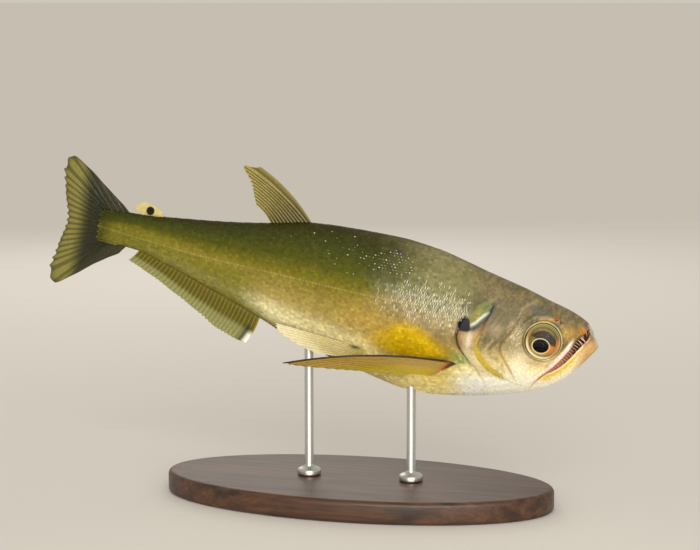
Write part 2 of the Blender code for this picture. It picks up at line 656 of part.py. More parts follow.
def build_fins(group, cutters, fish, finish):
    """The fins, each cut to the body's shape where it grows from it."""
    flat = (
        ("dorsal_fin", DORSAL_ROOT, DORSAL_TIP, DORSAL_BOW, DORSAL_MAKE),
        ("adipose_fin", ADIPOSE_ROOT, ADIPOSE_TIP, ADIPOSE_BOW, ADIPOSE_MAKE),
        ("anal_fin", ANAL_ROOT, ANAL_TIP, ANAL_BOW, ANAL_MAKE),
        ("caudal_fin", CAUDAL_ROOT, CAUDAL_TIP, CAUDAL_BOW, CAUDAL_MAKE),
    )
    fins = []
    for name, root, tip, bow, make in flat:
        lies = flat_fin(root, tip, bow)
        fins.append(fin_sheet(name, lies, *make, group, fish, split=name != "adipose_fin"))
    for hand, word in ((-1, "right"), (1, "left")):
        pectoral = paired_fin(PECTORAL_ROOT, PECTORAL_TIP, PECTORAL_BOW, hand)
        name = "pectoral_fin_" + word
        fins.append(fin_sheet(name, pectoral, *PECTORAL_MAKE, group, fish, notch=PECTORAL_NOTCH))
        pelvic = paired_fin(PELVIC_ROOT, PELVIC_TIP, PELVIC_BOW, hand)
        fins.append(fin_sheet("pelvic_fin_" + word, pelvic, *PELVIC_MAKE, group, fish, notch=PELVIC_NOTCH))
    room = body_loft("body_room", GAP, cutters, fish)
    for fin in fins:
        boolean(fin, as_cutter(copy_of(room, "fin_seat", cutters)), "DIFFERENCE")
        fin.data.materials.append(finish["fin"])
    bpy.data.objects.remove(room)


def build_stand(group, cutters, fish, trunk, finish):
    """An oval base with two steel rods, each let into a hole in the belly."""
    bpy.ops.mesh.primitive_cylinder_add(vertices=48, radius=1.0, depth=1.0)
    base = from_primitive("stand_base", group, None, shade=True)
    size = Matrix.Diagonal((BASE_LONG / 2 * MM, BASE_WIDE / 2 * MM, BASE_THICK * MM, 1))
    base.data.transform(Matrix.Translation((0, 0, BASE_THICK / 2 * MM)) @ size)
    rim = base.modifiers.new("rounded rim", "BEVEL")
    rim.width = BASE_ROUND * MM
    rim.segments = 2
    rim.limit_method = "ANGLE"
    base.data.set_sharp_from_angle(angle=math.radians(40))
    base.data.materials.append(finish["base"])
    for name, s in ROD_AT.items():
        belly = float(smooth(BELLY, s))
        x = SNOUT_X - s * math.cos(NOSE_DOWN) + belly * math.sin(NOSE_DOWN)
        z = SNOUT_Z + s * math.sin(NOSE_DOWN) + belly * math.cos(NOSE_DOWN)
        rod = turned_rod(name, x, BASE_THICK + GAP, z + ROD_DEEP, ROD_RADIUS, group)
        rod.data.materials.append(finish["steel"])
        bore = (ROD_RADIUS + GAP) * MM
        bpy.ops.mesh.primitive_cylinder_add(vertices=24, radius=bore, depth=2 * ROD_DEEP * MM)
        hole = from_primitive("rod_hole", cutters, None)
        hole.data.transform(Matrix.Translation((x * MM, 0, (z + GAP) * MM)))
        boolean(trunk, as_cutter(hole), "DIFFERENCE")


def turned_rod(name, x, low, high, radius, group):
    """A rod on a small round foot, turned from one profile."""
    profile = [
        (radius, high - 0.4), (radius, low + FOOT_HIGH + 0.8), (radius + 0.7, low + FOOT_HIGH),
        (FOOT_RADIUS - 0.5, low + FOOT_HIGH - 0.4), (FOOT_RADIUS, low + FOOT_HIGH - 1.0), (FOOT_RADIUS, low),
    ]
    profile = [(0.0, high), (radius - 0.4, high)] + profile + [(0.0, low)]
    mesh = bpy.data.meshes.new(name)
    edges = [(i, i + 1) for i in range(len(profile) - 1)]
    mesh.from_pydata([(r * MM, 0, z * MM) for r, z in profile], edges, [])
    rod = add_object(name, mesh, group)
    rod.location.x = x * MM
    spin = rod.modifiers.new("turned", "SCREW")
    spin.steps = spin.render_steps = 18
    spin.use_merge_vertices = True
    spin.merge_threshold = 1e-6
    spin.use_smooth_shade = True
    return rod


def main():
    for thing in list(bpy.data.objects):
        bpy.data.objects.remove(thing)
    group = bpy.data.collections.new("payara")
    cutters = bpy.data.collections.new("cutters")
    for each in (group, cutters):
        bpy.context.scene.collection.children.link(each)
    fish = bpy.data.objects.new("fish", None)
    group.objects.link(fish)
    fish.location = (SNOUT_X * MM, 0, SNOUT_Z * MM)
    fish.rotation_euler = (0, NOSE_DOWN, 0)
    bpy.context.view_layer.update()
    finish = {
        "back": material("olive back", (0.20, 0.17, 0.07), 0.38),
        "flank": material("golden olive flank", (0.30, 0.26, 0.11), 0.35),
        "cheek": material("silver gold gill cover", (0.50, 0.43, 0.22), 0.30),
        "jaw": material("cream lower jaw", (0.72, 0.50, 0.22), 0.40),
        "eye": material("gold and black eye", (0.10, 0.08, 0.03), 0.08),
        "fin": material("clear olive fin", (0.32, 0.30, 0.16), 0.40),
        "base": material("oiled dark walnut", (0.07, 0.045, 0.03), 0.4),
        "steel": material("brushed steel", (0.55, 0.55, 0.56), 0.32, 1.0),
    }
    whole = body_loft("body", 0.0, group, fish)
    head, lower_jaw, trunk, tail = build_body(whole, group, cutters, fish, finish)
    bpy.data.objects.remove(whole)
    build_teeth(head, lower_jaw, cutters, fish)
    build_eyes(group, fish, finish)
    build_fins(group, cutters, fish, finish)
    build_stand(group, cutters, fish, trunk, finish)
    for thing in (head, lower_jaw, trunk, tail):
        thing.data.shade_smooth()
        thing.data.set_sharp_from_angle(angle=math.radians(35))


main()
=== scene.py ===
import math

import bpy
import numpy as np
from mathutils import Matrix, Vector, noise


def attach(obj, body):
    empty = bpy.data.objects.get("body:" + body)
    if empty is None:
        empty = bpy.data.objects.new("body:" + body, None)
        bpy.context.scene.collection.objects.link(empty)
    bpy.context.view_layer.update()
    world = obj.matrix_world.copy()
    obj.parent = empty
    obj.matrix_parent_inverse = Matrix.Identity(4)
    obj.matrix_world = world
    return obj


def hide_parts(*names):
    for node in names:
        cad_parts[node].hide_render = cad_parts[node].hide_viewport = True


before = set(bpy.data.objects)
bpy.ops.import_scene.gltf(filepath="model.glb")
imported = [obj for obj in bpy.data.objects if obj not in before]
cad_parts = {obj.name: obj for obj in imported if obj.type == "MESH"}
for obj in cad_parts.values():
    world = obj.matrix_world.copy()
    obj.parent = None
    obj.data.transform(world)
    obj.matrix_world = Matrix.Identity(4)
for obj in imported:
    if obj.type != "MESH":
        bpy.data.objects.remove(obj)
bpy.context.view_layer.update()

# Skin of the head, jaw and body. On the fish it is one thin wet skin over bone and muscle, silvered by
# guanine and stippled with dark pigment. The model's is one cast and painted shell, so no seam shows in it.
# Places are in millimetres: s from the snout along the body, h over its axis, y to the fish's left.
MM = 0.001
NOSE_DOWN = math.radians(10.4)
SNOUT_X, SNOUT_Z = 84.0, 60.0
BACK = (
    (-0.6, -1.1), (-0.1, -0.1), (0.5, 0.8), (1.8, 2.6), (2.9, 4.3), (3.8, 5.5), (4.4, 6.15), (5.2, 6.6),
    (6.7, 7.3), (9.5, 8.45), (14.0, 9.7), (18.0, 10.6), (27.0, 13.0), (38.0, 15.3), (48.0, 17.7),
    (60.0, 20.1), (73.0, 21.2), (90.0, 20.8), (105.6, 19.6), (122.0, 16.0), (136.0, 13.4),
    (150.0, 11.4), (165.0, 9.6), (174.0, 8.8), (180.0, 8.4), (184.5, 8.0),
)
BELLY = (
    (-0.6, -1.8), (-0.1, -2.7), (0.6, -3.8), (2.7, -7.1), (5.3, -11.0), (8.7, -14.9), (12.4, -18.0),
    (17.0, -20.8), (22.0, -22.9), (28.0, -25.0), (36.5, -27.4), (45.0, -29.3), (55.0, -30.8),
    (63.0, -30.9), (72.0, -29.7), (80.0, -28.1), (95.0, -25.3), (108.0, -22.0), (118.0, -18.4),
    (143.0, -10.8), (160.0, -6.0), (168.0, -4.2), (174.0, -3.9), (180.0, -4.6), (184.5, -4.6),
)
HALF_WIDTH = (
    (-0.6, 0.9), (-0.2, 1.8), (0.6, 2.7), (2.0, 3.6), (5.0, 5.2), (9.0, 6.8), (17.0, 8.5), (26.0, 9.6),
    (38.0, 10.2), (55.0, 10.4), (75.0, 10.0), (95.0, 8.8), (115.0, 7.2), (135.0, 5.3), (155.0, 3.6),
    (170.0, 2.6), (180.0, 1.3), (184.5, 0.65),
)
WIDEST_AT = (
    (-0.6, -1.4), (4.0, -1.0), (17.0, -2.5), (30.0, -4.0), (45.0, -4.0), (65.0, -3.0), (90.0, -0.5),
    (118.0, 1.0), (145.0, 2.0), (168.0, 3.0), (180.0, 2.0),
)
BACK_KEEL = ((0.0, 1.0), (17.0, 1.05), (40.0, 1.1), (70.0, 1.2), (120.0, 1.15), (180.0, 1.0))
BELLY_KEEL = (
    (0.0, 1.0), (10.0, 1.1), (25.0, 1.35), (45.0, 1.5), (80.0, 1.6), (118.0, 1.5), (150.0, 1.2),
    (180.0, 1.0),
)
SKIN_RINGS, SKIN_SIDES = 372, 252
RING_AT = ((0.0, -0.6), (0.05, 0.6), (0.66, 46.0), (0.74, 52.0), (1.0, 184.5))  # share of the rings, and s
TAIL_CAP_RINGS = 6
COAT_DEEP = 0.3  # how far the skin lies under the scales' tops

NECK_LINE = (
    (39.5, 30.0), (39.8, 14.0), (41.4, 7.0), (44.8, 0.8), (46.1, -5.3), (45.6, -8.2), (44.0, -10.8),
    (41.4, -13.6), (37.6, -16.8), (34.4, -20.4), (32.6, -25.0), (32.0, -40.0),
)
JAW_TOP = (
    (-3.0, 5.4), (1.0, 4.9), (2.4, 4.45), (3.1, 3.9), (3.1, 3.2), (2.7, 2.3), (2.9, 1.1), (3.8, -0.4),
    (4.9, -2.2), (6.7, -5.2), (9.2, -8.9), (12.2, -11.9), (15.0, -13.9), (18.2, -18.4), (20.2, -22.4),
    (22.0, -26.4), (27.0, -38.0),
)
JAW_GAPE = 13  # how many of those points lie along the open mouth
LIP_LINE = (
    (-1.0, 5.6), (2.4, 4.9), (3.5, 4.4), (3.9, 3.5), (4.4, 2.7), (5.1, 2.1), (5.9, 0.7), (6.7, -0.9),
    (8.4, -4.1), (10.7, -8.0), (12.8, -10.9), (15.0, -13.5),
)
MOUTH_CORE = ((2.6, 0.8), (4.6, 1.4), (9.5, 4.2), (16.5, 5.5))
GILL_FRONT = (
    (41.0, 6.6), (36.5, 6.4), (31.5, 5.9), (28.8, 3.6), (29.5, -0.3), (30.9, -5.8), (29.9, -9.8),
    (27.6, -13.4), (26.6, -17.0), (29.5, -19.4), (36.5, -20.0),
)
GILL_BACK = ((60.0, -20.0), (60.0, 6.6))
GILL_RISE = 0.35
OPERCLE_EDGE = (
    (36.2, 4.4), (37.7, -1.2), (39.0, -5.8), (39.0, -9.6), (36.9, -13.1), (33.2, -16.0), (29.6, -17.6),
)
FLAP_EDGE = (
    (36.5, 4.9), (42.0, 1.6), (44.8, -1.2), (45.9, -5.3), (45.4, -8.2), (43.8, -10.8), (41.2, -13.6),
    (37.2, -16.8), (32.5, -19.8),
)
SHOULDER_BAND = ((42.4, -3.1), (40.8, -2.5), (39.3, -0.8), (37.6, 1.6), (36.4, 4.2), (36.4, 6.0))
SHOULDER_EDGE = ((42.6, -1.9), (41.1, -1.0), (39.6, 0.8), (38.2, 2.5), (36.9, 4.0))
CHEEK_EDGE = (
    (26.2, 5.6), (27.0, 2.6), (28.6, -1.4), (30.1, -4.3), (30.8, -6.9), (30.2, -9.2), (28.4, -11.7),
    (26.4, -14.2), (23.9, -18.0), (22.4, -20.4),
)
THROAT_LINE = (
    (31.0, -9.6), (30.8, -12.1), (30.4, -14.4), (29.6, -17.2), (26.7, -18.4), (23.6, -19.2),
    (20.5, -19.5),
)
MAXILLA_TOP = (
    (5.6, 4.0), (6.9, 1.9), (8.5, -0.9), (10.4, -4.5), (12.2, -7.4), (14.2, -10.7), (16.3, -13.9),
    (18.0, -16.2), (19.4, -18.2),
)
MAXILLA_LOW = (
    (4.6, 3.2), (5.1, 2.2), (5.9, 0.7), (6.6, -0.9), (8.3, -4.3), (10.5, -8.2), (12.6, -11.1), (14.9, -13.6),
    (17.5, -16.6), (19.4, -18.2),
)
EYE_S, EYE_H = 17.1, -2.0
EYE_LONG, EYE_TALL = 6.0, 6.2
NOSTRILS = ((12.5, 5.4, 0.6), (14.2, 6.1, 0.7))
NOSTRIL_DEEP, SOCKET_DEEP = 0.8, 2.4
HEAD_PORES = (
    (8.6, 7.2), (10.6, 7.3), (13.2, 8.0), (16.4, 8.5), (19.8, 8.9), (23.4, 9.0), (27.0, 8.4),
    (30.4, 7.6), (25.4, 4.6), (26.6, 1.4), (27.6, -2.2), (27.6, -6.0), (26.4, -9.6), (24.4, -12.6),
    (22.2, -14.9), (9.8, 1.9), (11.0, -0.9), (12.6, -8.6), (14.6, -10.8), (17.4, -12.2), (20.6, -13.0),
    (4.2, -5.2), (6.6, -9.0), (9.4, -12.4), (12.8, -15.0), (16.6, -17.6),
)
PORE_RADIUS, WHORL_PITCH, RAY_FOLD_PITCH = 0.32, 1.25, 2.4
TOOL_OUT, TOOL_UP = 30.0, 60.0  # how far the cutting tools reach to the sides, and up and down


def smooth(table, at, column=1):
    """A monotone cubic through a column of a table, read at one place or many."""
    x = np.array([row[0] for row in table], float)
    y = np.array([row[column] for row in table], float)
    step = np.diff(x)
    slope = np.diff(y) / step
    bend = np.zeros(len(x))
    before, after = slope[:-1], slope[1:]
    same_way = before * after > 0
    left, right = 2 * step[1:] + step[:-1], step[1:] + 2 * step[:-1]
    mean = (left + right) / (left / np.where(same_way, before, 1) + right / np.where(same_way, after, 1))
    bend[1:-1] = np.where(same_way, mean, 0)
    bend[0], bend[-1] = slope[0], slope[-1]
    at = np.clip(np.asarray(at, float), x[0], x[-1])
    i = np.clip(np.searchsorted(x, at, side="right") - 1, 0, len(step) - 1)
    t = (at - x[i]) / step[i]
    rise = (3 - 2 * t) * t * t
    start, end = bend[i] * t * (1 - t) ** 2, bend[i + 1] * t * t * (1 - t)
    return y[i] + (y[i + 1] - y[i]) * rise + step[i] * (start - end)


def curve_through(points, per=4):
    """More points along a line, on a smooth curve through the given ones."""
    line = np.array([points[0], *points, points[-1]], float)
    made = []
    for a, b, c, d in zip(line, line[1:], line[2:], line[3:]):
        for t in np.arange(per) / per:
            bend = (2 * a - 5 * b + 4 * c - d) * t**2 + (3 * b - a - 3 * c + d) * t**3
            made.append(b + ((c - a) * t + bend) / 2)
    return np.array([*made, line[-1]])


def ramp(low, high, x):
    """0 below low, 1 above high, and smooth between; high may be the lower one."""
    t = np.clip((np.asarray(x, float) - low) / (high - low), 0, 1)
    return t * t * (3 - 2 * t)


def hump(x, width):
    """1 at 0, falling off to both sides."""
    return np.exp(-((np.asarray(x, float) / width) ** 2))


def spot(s, h, at_s, at_h, long, tall):
    """1 in the middle of an oval spot, fading out all round."""
    return hump(np.hypot((s - at_s) / long, (h - at_h) / tall), 1.0)


def place(s, h, y):
    """Fish millimetres as points of the scene."""
    x = SNOUT_X - s * math.cos(NOSE_DOWN) + h * math.sin(NOSE_DOWN)
    z = SNOUT_Z + s * math.sin(NOSE_DOWN) + h * math.cos(NOSE_DOWN)
    return np.stack(np.broadcast_arrays(x, y, z), -1) * MM


def fish_place(points):
    """Points of the scene as fish millimetres s, h and y."""
    back, up = SNOUT_X - points[:, 0] / MM, points[:, 2] / MM - SNOUT_Z
    cosine, sine = math.cos(NOSE_DOWN), math.sin(NOSE_DOWN)
    return back * cosine + up * sine, up * cosine - back * sine, points[:, 1] / MM


def body(s, angle):
    """The body's surface as (s, h, y), for an angle round it from its left side over its back."""
    above = np.sin(angle) >= 0
    middle = smooth(WIDEST_AT, s)
    reach = np.where(above, smooth(BACK, s) - middle, middle - smooth(BELLY, s))
    keel = np.where(above, smooth(BACK_KEEL, s), smooth(BELLY_KEEL, s))
    cosine = np.cos(angle)
    y = np.sign(cosine) * np.abs(cosine) ** keel * smooth(HALF_WIDTH, s)
    return np.stack(np.broadcast_arrays(s, middle + reach * np.sin(angle), y), -1)


def side(s, h):
    """Half the body's width at a height, in mm."""
    middle = smooth(WIDEST_AT, s)
    above = np.asarray(h) >= middle
    reach = np.where(above, smooth(BACK, s) - middle, middle - smooth(BELLY, s))
    keel = np.where(above, smooth(BACK_KEEL, s), smooth(BELLY_KEEL, s))
    share = np.clip(np.abs(h - middle) / reach, 0, 1)
    return smooth(HALF_WIDTH, s) * (1 - share**2) ** (keel / 2)


def unit(v):
    """Vectors at length 1."""
    return v / np.maximum(np.linalg.norm(v, axis=-1, keepdims=True), 1e-12)


def near(line, s, h):
    """How far places in the side view lie to the left (+) or right (-) of a line, and what share along it."""
    line = np.asarray(line, float)
    lengths = np.linalg.norm(np.diff(line, axis=0), axis=1)
    starts = np.concatenate([[0], np.cumsum(lengths)])
    best, hand, along = np.full(s.shape, 1e9), np.zeros(s.shape), np.zeros(s.shape)
    for a, b, start, length in zip(line, line[1:], starts, lengths):
        d = b - a
        t = np.clip(((s - a[0]) * d[0] + (h - a[1]) * d[1]) / length**2, 0, 1)
        far = np.hypot(s - a[0] - t * d[0], h - a[1] - t * d[1])
        closer = far < best
        best = np.where(closer, far, best)
        hand = np.where(closer, np.where(d[0] * (h - a[1]) > d[1] * (s - a[0]), 1, -1), hand)
        along = np.where(closer, (start + t * length) / starts[-1], along)
    return best * hand, along


def depth_in(outline, s, h):
    """How far places lie inside a closed outline, below 0 outside it."""
    outline = np.asarray(outline, float)
    far = np.abs(near(np.vstack([outline, outline[:1]]), s, h)[0])
    within = np.zeros(s.shape, bool)
    for a, b in zip(outline, np.roll(outline, -1, 0)):
        crosses = (a[1] > h) != (b[1] > h)
        rise = b[1] - a[1] if abs(b[1] - a[1]) > 1e-9 else 1e-9
        within ^= crosses & (s < a[0] + (h - a[1]) * (b[0] - a[0]) / rise)
    return np.where(within, far, -far)


NECK, COVER = curve_through(NECK_LINE), [*curve_through(GILL_FRONT), *GILL_BACK]
OPERCLE, FLAP, CHEEK = curve_through(OPERCLE_EDGE), curve_through(FLAP_EDGE), curve_through(CHEEK_EDGE)
MAXILLA = np.vstack([curve_through(MAXILLA_TOP), curve_through(MAXILLA_LOW)[::-1]])
GAPE_LOW, GAPE_TOP = curve_through(JAW_TOP)[: 4 * (JAW_GAPE - 1) + 1], curve_through(LIP_LINE)
MOUTH_CORNER = curve_through(JAW_TOP)[4 * (JAW_GAPE - 1) :]


def eye_ring(s, h):
    """How far out from the eye's middle places lie, 1 at its socket's edge."""
    return np.hypot((s - EYE_S) / EYE_LONG, (h - EYE_H) / EYE_TALL)


def cheek_wrinkles(s, h):
    """The fine whorls of the cheek behind the eye, from -1 to 1."""
    wave = 0.75 * np.sin(1.5 * h + 0.7 * s) + 0.5 * np.sin(2.9 * h - 1.3 * s)
    wave += 0.3 * np.sin(4.1 * s + 1.1 * h)
    return np.sin(2 * math.pi * (s + wave) / WHORL_PITCH)


def relief(s, h, y):
    """How far the skin stands out of the plain body, in mm: bones, folds, lips, pits and the scales' bed."""
    before_neck = -near(NECK, s, h)[0]
    above_gill = ramp(4, 8, h)
    bed = ramp(0.2, -1.6, before_neck) * (1 - above_gill) + ramp(2.0, -6.0, before_neck) * above_gill
    made = -COAT_DEEP * bed
    low = ramp(1.5, -1.0, h)

    # Gill cover: a plate that rises from the cheek and ends in a free edge, with bone, flap and ray folds
    cover = depth_in(COVER, s, h)
    raised = ramp(-0.5, 0.7, cover) * ramp(-0.15, 0.15, before_neck) * ramp(2.5, -1.5, h) * ramp(-20, -15, h)
    made += GILL_RISE * raised
    made -= 0.3 * hump(before_neck + 0.45, 0.5) * low * (before_neck < 0.1) * ramp(-16, -12, h)
    behind_opercle = near(OPERCLE, s, h)[0]
    made -= 0.16 * ramp(-0.25, 0.25, behind_opercle) * ramp(-0.5, 0.8, cover)
    made += 0.1 * hump(behind_opercle + 0.5, 0.4) * ramp(-0.5, 0.8, cover)
    striae = np.sin(2 * math.pi * (0.55 * s + 0.25 * h)) * hump(s - 34.5, 4.5) * hump(h + 2, 6)
    made += 0.025 * striae * ramp(0.3, 1.5, cover)
    rays = ramp(24, 27, s) * ramp(-14.0, -17.0, h + 0.35 * (s - 30)) * ramp(0.2, 1.0, before_neck)
    folds = np.sin(2 * math.pi * (h + 0.42 * (s - 30)) / RAY_FOLD_PITCH)
    made += 0.06 * folds * rays * ramp(0.6, 2.0, np.abs(y))

    # Cheek: the bones' free edge, and the fine wavy wrinkles behind the eye
    behind_cheek, along = near(CHEEK, s, h)
    fade = ramp(0, 0.08, along) * ramp(0.95, 0.6, along)
    made -= 0.2 * hump(behind_cheek, 0.3) * fade
    made += 0.12 * hump(behind_cheek + 0.7, 0.5) * fade
    off_eye = ramp(6.9, 7.6, np.hypot(s - EYE_S, h - EYE_H))
    made += 0.05 * cheek_wrinkles(s, h) * hump(s - 26.3, 2.6) * hump(h + 2.5, 5.0) * off_eye

    # Eye: a raised rim, a shallow fold round it, and the brow
    ring = eye_ring(s, h)
    made += 0.24 * hump(ring - 1.06, 0.06)
    made -= 0.12 * hump(ring - 1.18, 0.06)
    made += 0.25 * hump(ring - 1.38, 0.14) * ramp(-2, 4, h)

    # Nostrils: a raised edge round each, and a flap of skin between them
    for at_s, at_h, radius in NOSTRILS:
        made += 0.2 * hump(np.hypot(s - at_s, h - at_h) / radius - 1.2, 0.45)
    made += 0.25 * hump(s - 13.4, 0.4) * hump(h - 5.9, 0.7)

    # Jaws: the upper jaw's flat bone, its front knobs, and the lip of the lower jaw
    bone = depth_in(MAXILLA, s, h)
    made += 0.36 * ramp(-0.1, 0.55, bone)
    made -= 0.12 * hump(bone + 0.35, 0.3)
    over_lip, along = near(GAPE_LOW, s, h)
    made += 0.28 * hump(-over_lip - 0.45, 0.42) * ramp(-0.2, 0.1, -over_lip) * ramp(1, 0.9, along)
    made -= 0.10 * hump(-over_lip - 1.5, 0.5) * ramp(1, 0.85, along)
    made += 0.22 * (spot(s, h, 5.2, 3.6, 0.7, 0.7) + spot(s, h, 4.5, 4.7, 0.6, 0.6))
    made -= 0.3 * hump(near(MOUTH_CORNER, s, h)[0], 0.35) * ramp(-24.5, -19.0, h)
    chin = hump(y, 0.5) * ramp(-1.5, -4.0, h - smooth(WIDEST_AT, s))
    made -= 0.35 * chin * ramp(2.5, 5, s) * ramp(35, 31, s)

    # Pores of the head's sense canals
    for at_s, at_h in HEAD_PORES:
        from_pore = np.hypot(s - at_s, h - at_h) / PORE_RADIUS
        made += 0.07 * hump(from_pore - 1.4, 0.5) - 0.2 * hump(from_pore, 0.8)
    return made


def linear(tone):
    """A hex colour as linear red, green and blue."""
    parts = [int(tone[i : i + 2], 16) / 255 for i in (0, 2, 4)]
    return np.array([p / 12.92 if p <= 0.04045 else ((p + 0.055) / 1.055) ** 2.4 for p in parts])


def paint(made, tone, cover):
    """Lays a tone over others, as far as it covers them."""
    cover = np.clip(np.asarray(cover, float), 0, 1)[..., None]
    made += (linear(tone) - made) * cover
    return made


# How the colour runs from the belly (0) to the back (1): creamy on the head, beige and brass on the front of
# the body, and deeper and deeper olive behind the middle. It is partly the fish's own countershading and
# partly painted light: the lowest rungs of the head and front ladders are painted lighter, as light from
# below, and the rear ladder's lowest rung is painted darker, as painted shade under the belly
HEAD_SHADES = (
    (0.0, "fffdea"), (0.14, "fffeee"), (0.26, "faecb6"), (0.4, "ccb67c"), (0.52, "7c6e46"),
    (0.66, "544c2c"), (0.78, "4a4426"), (0.9, "7e7252"), (1.0, "786c4c"),
)
FRONT_SHADES = (
    (0.0, "fae8a6"), (0.1, "e8d284"), (0.2, "dac668"), (0.33, "b4983c"), (0.45, "8c7848"),
    (0.56, "a2946c"), (0.68, "8e906e"), (0.78, "7a784c"), (0.88, "7a764c"), (1.0, "86805a"),
)
REAR_SHADES = (
    (0.0, "8a8038"), (0.16, "ece4b2"), (0.32, "aa9854"), (0.46, "8e8038"), (0.58, "706a16"),
    (0.7, "4c4e0a"), (0.84, "3a400c"), (1.0, "323110"),
)
GOLD_PATCH = (
    (47.0, -14.0), (52.5, -10.6), (58.0, -7.4), (64.5, -6.2), (73.0, -10.0), (79.0, -15.4),
    (68.0, -18.8), (58.0, -18.2),
)
HUMERAL_SPOT = (
    (46.7, -0.6), (45.4, 0.5), (43.4, 0.5), (42.4, -0.8), (42.0, -3.4), (43.6, -4.4), (45.6, -4.3),
    (46.7, -2.8),
)
GREEN_COMMA = (
    (42.2, -1.6), (42.3, 1.0), (42.0, 3.8), (40.9, 5.8), (39.0, 6.9), (36.8, 6.4), (36.7, 4.4), (38.1, 2.6),
    (39.6, 0.8), (41.0, -0.9),
)


def shades(ladder, share):
    """A ladder of colours read at shares of the way from belly to back."""
    tones = np.array([linear(tone) for _, tone in ladder])
    return np.stack([np.interp(share, [rung for rung, _ in ladder], tones[:, c]) for c in range(3)], -1)


def dapple(s, h, size):
    """An uneven pattern with patches of a size in mm, from about -1 to 1."""
    places = zip((s / size).tolist(), (h / size).tolist())
    return 1.6 * np.array([noise.fractal((a, b, 0.5), 0.7, 2.0, 3) for a, b in places])


def share_up(s, h):
    """How far up from the belly to the back places lie, from 0 to 1."""
    return np.clip((h - smooth(BELLY, s)) / (smooth(BACK, s) - smooth(BELLY, s)), 0, 1)


def paint_body(made, s, h, share):
    """A duller tail, gold over the breast fin with painted shade at its front edge, painted light low on the
    middle of the body, and a dark blotch at the back.
    """
    paint(made, "787420", 0.9 * ramp(112, 130, s) * ramp(0.62, 0.35, share))
    paint(made, "74721e", 0.7 * ramp(150, 172, s) * ramp(0.75, 0.5, share))
    paint(made, "383a10", 0.7 * ramp(176, 183, s))
    paint(made, "c8a250", 0.5 * hump(s - 78, 11) * hump(share - 0.4, 0.13))
    # Painted light: the lower flank and belly round the middle are painted lighter, against the shade the
    # fins cast there.
    paint(made, "fff0a8", 0.5 * hump(s - 79, 11) * ramp(0.38, 0.1, share))
    paint(made, "5c5230", 0.3 * hump(s - 80, 9) * ramp(0.9, 0.98, share))
    paint(made, "26280e", 0.5 * hump(s - 74, 10) * hump(share - 0.8, 0.09))
    gold = depth_in(curve_through(GOLD_PATCH), s, h)
    paint(made, "cfac01", 0.95 * ramp(-2.4, 2.6, gold) * ramp(82, 65, s + 0.5 * h + 5))
    # Painted shade: darker gold-brown round the gold's front edge, by the breast fin's root.
    paint(made, "74580c", 0.35 * hump(gold + 0.2, 1.2) * ramp(60, 50, s) * ramp(-8, -12, h))
    paint(made, "3a3a3a", 0.75 * spot(s, h, 72.5, 17.0, 2.0, 1.2))


def paint_head(made, s, h, share, patchy, fine, cloud):
    """Uneven pigment, slate over the eye, silvery whorls behind it, gold before it, and a cream cheek."""
    head = ramp(45, 40, s)
    paint(made, "4e4222", 0.35 * head * ramp(0.3, 0.6, share) * ramp(0.0, 0.8, fine))
    paint(made, "a89860", 0.3 * head * ramp(0.3, 0.6, share) * ramp(0.0, 0.9, -fine))
    paint(made, "4e522c", 0.3 * head * ramp(0.55, 0.75, share) * ramp(0.0, 0.8, patchy))
    paint(made, "4e545a", 0.6 * spot(s, h, 20.8, 7.6, 3.0, 1.7))
    paint(made, "c4b48c", 0.22 * hump(near(((26.4, 6.9), (24.1, 9.0), (22.6, 10.3)), s, h)[0], 0.5))
    paint(made, "b08436", 0.65 * hump(near(((19.4, 4.9), (16.6, 5.1), (14.6, 5.9)), s, h)[0], 0.6))
    paint(made, "cda04a", 0.6 * spot(s, h, 9.2, 2.2, 2.6, 2.4))
    paint(made, "9c8a60", 0.65 * spot(s, h, 26.5, -2.0, 3.4, 5.0))
    whorls = hump(s - 26.5, 2.6) * hump(h + 2.6, 5.0) * (0.6 + 0.4 * cloud)
    whorls *= ramp(1.16, 1.26, eye_ring(s, h))
    paint(made, "f0e8d0", 0.6 * whorls * ramp(0.4, 0.85, cheek_wrinkles(s, h)))
    paint(made, "857a50", 0.45 * whorls * ramp(-0.2, -0.8, cheek_wrinkles(s, h)))
    paint(made, "fffadc", 0.9 * spot(s, h, 23.6, -14.0, 3.4, 5.4))
    paint(made, "ad915e", 0.55 * spot(s, h, 18.2, -9.9, 3.4, 1.1))
    behind, along = near(CHEEK, s, h)
    fade = ramp(0.1, 0.3, along) * ramp(0.95, 0.75, along)
    paint(made, "6a4c22", 0.75 * hump(behind, 0.34) * fade)
    paint(made, "d8b23c", 0.5 * hump(behind - 0.7, 0.35) * fade * ramp(-7, -11, h))
    throat = near(curve_through(THROAT_LINE), s, h)[0]
    paint(made, "a88332", 0.35 * hump(throat, 0.28) * ramp(20, 23, s))


